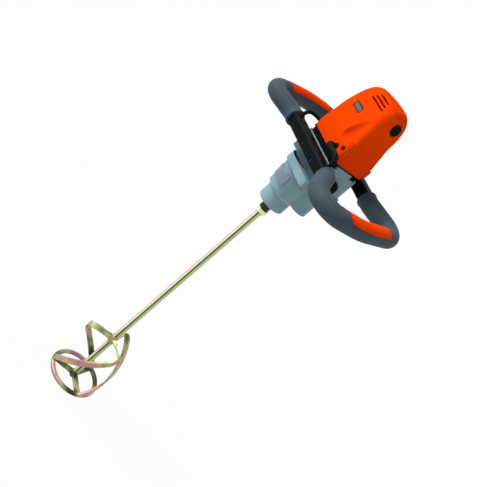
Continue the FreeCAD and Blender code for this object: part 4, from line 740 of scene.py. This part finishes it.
# Camera at the photograph's viewing angle
AZIMUTH, ELEVATION, ROLL = (math.radians(angle) for angle in (45.438, 21.425, 48.979))
DISTANCE = 1.445973
TARGET = Vector((0, 0, -0.057067))
FOCAL_PIXELS = 762.359
SHIFT_PIXELS = (6.176, -23.129)
SENSOR = 36
FAR_CLIP = 200

back = Vector((math.sin(AZIMUTH) * math.cos(ELEVATION), -math.cos(AZIMUTH) * math.cos(ELEVATION),
               math.sin(ELEVATION)))
level_right = Vector((math.cos(AZIMUTH), math.sin(AZIMUTH), 0))
level_up = back.cross(level_right)
right = math.cos(ROLL) * level_right + math.sin(ROLL) * level_up
up = math.cos(ROLL) * level_up - math.sin(ROLL) * level_right

lens = bpy.data.cameras.new("photo_view")
lens.sensor_width = SENSOR
lens.lens = FOCAL_PIXELS / PHOTO_SIDE * SENSOR
lens.shift_x = -SHIFT_PIXELS[0] / PHOTO_SIDE
lens.shift_y = SHIFT_PIXELS[1] / PHOTO_SIDE
lens.clip_end = FAR_CLIP
camera = bpy.data.objects.new("photo_view", lens)
camera.matrix_world = (Matrix.Translation(TARGET + back * DISTANCE)
                       @ Matrix((right, up, back)).transposed().to_4x4())
scene.collection.objects.link(camera)
scene.camera = camera


# Studio: pale floor, broad soft lamps and a white surround
def lamp(name, way, strength, spread):
    """Broad soft lamp far away in a direction of the shared frame."""
    data = bpy.data.lights.new(name, "SUN")
    data.energy = strength
    data.angle = math.radians(spread)
    obj = bpy.data.objects.new(name, data)
    obj.rotation_euler = Vector(way).to_track_quat("Z", "Y").to_euler()
    scene.collection.objects.link(obj)


lamp("key", way=(-0.62, -0.7, 0.62), strength=3.0, spread=22)
lamp("fill", way=(0.9, -0.25, 0.5), strength=0.3, spread=60)
lamp("behind", way=(0.2, 0.9, 0.6), strength=0.3, spread=60)

AMBIENT = 0.27
SURROUND = 0.984
WHITE = (1, 1, 1)
world = bpy.data.worlds.new("white_surround")
world.use_nodes = True
scene.world = world
sky = Wiring(world.node_tree)
brightness = AMBIENT + (SURROUND - AMBIENT) * sky.showing_backdrop()
surround = sky.add("ShaderNodeBackground", None, {"Color": WHITE, "Strength": brightness})
sky.add("ShaderNodeOutputWorld", None, {"Surface": surround})

FLOOR_LEVEL = cad_box[0][2] - 0.5 * MM
FLOOR_HALF = 40
FLOOR_SIDES = ((-1, -1), (1, -1), (1, 1), (-1, 1))
PAPER_WHITE = (0.73, 0.73, 0.73), (0.76, 0.76, 0.76)
WHITE_SHARE = 0.95
floor_mesh = bpy.data.meshes.new("studio_floor")
floor_mesh.from_pydata([(x * FLOOR_HALF, y * FLOOR_HALF, FLOOR_LEVEL) for x, y in FLOOR_SIDES],
                       [], [(0, 1, 2, 3)])
floor = bpy.data.objects.new("studio_floor", floor_mesh)
scene.collection.objects.link(floor)
paper = Finish("studio_paper", {"Specular IOR Level": 0.0, "Roughness": 0.9})
paper.feed("Base Color", paper.mixed(paper.noise(scale=3, detail=2), *PAPER_WHITE))
glow = paper.add("ShaderNodeEmission")
blended = paper.add("ShaderNodeMixShader", None,
                    {0: WHITE_SHARE * paper.showing_backdrop(), 1: paper.surface, 2: glow})
paper.join(paper.output.node.inputs["Surface"], blended)
floor_mesh.materials.append(paper.material)

scene.view_settings.view_transform = "Standard"
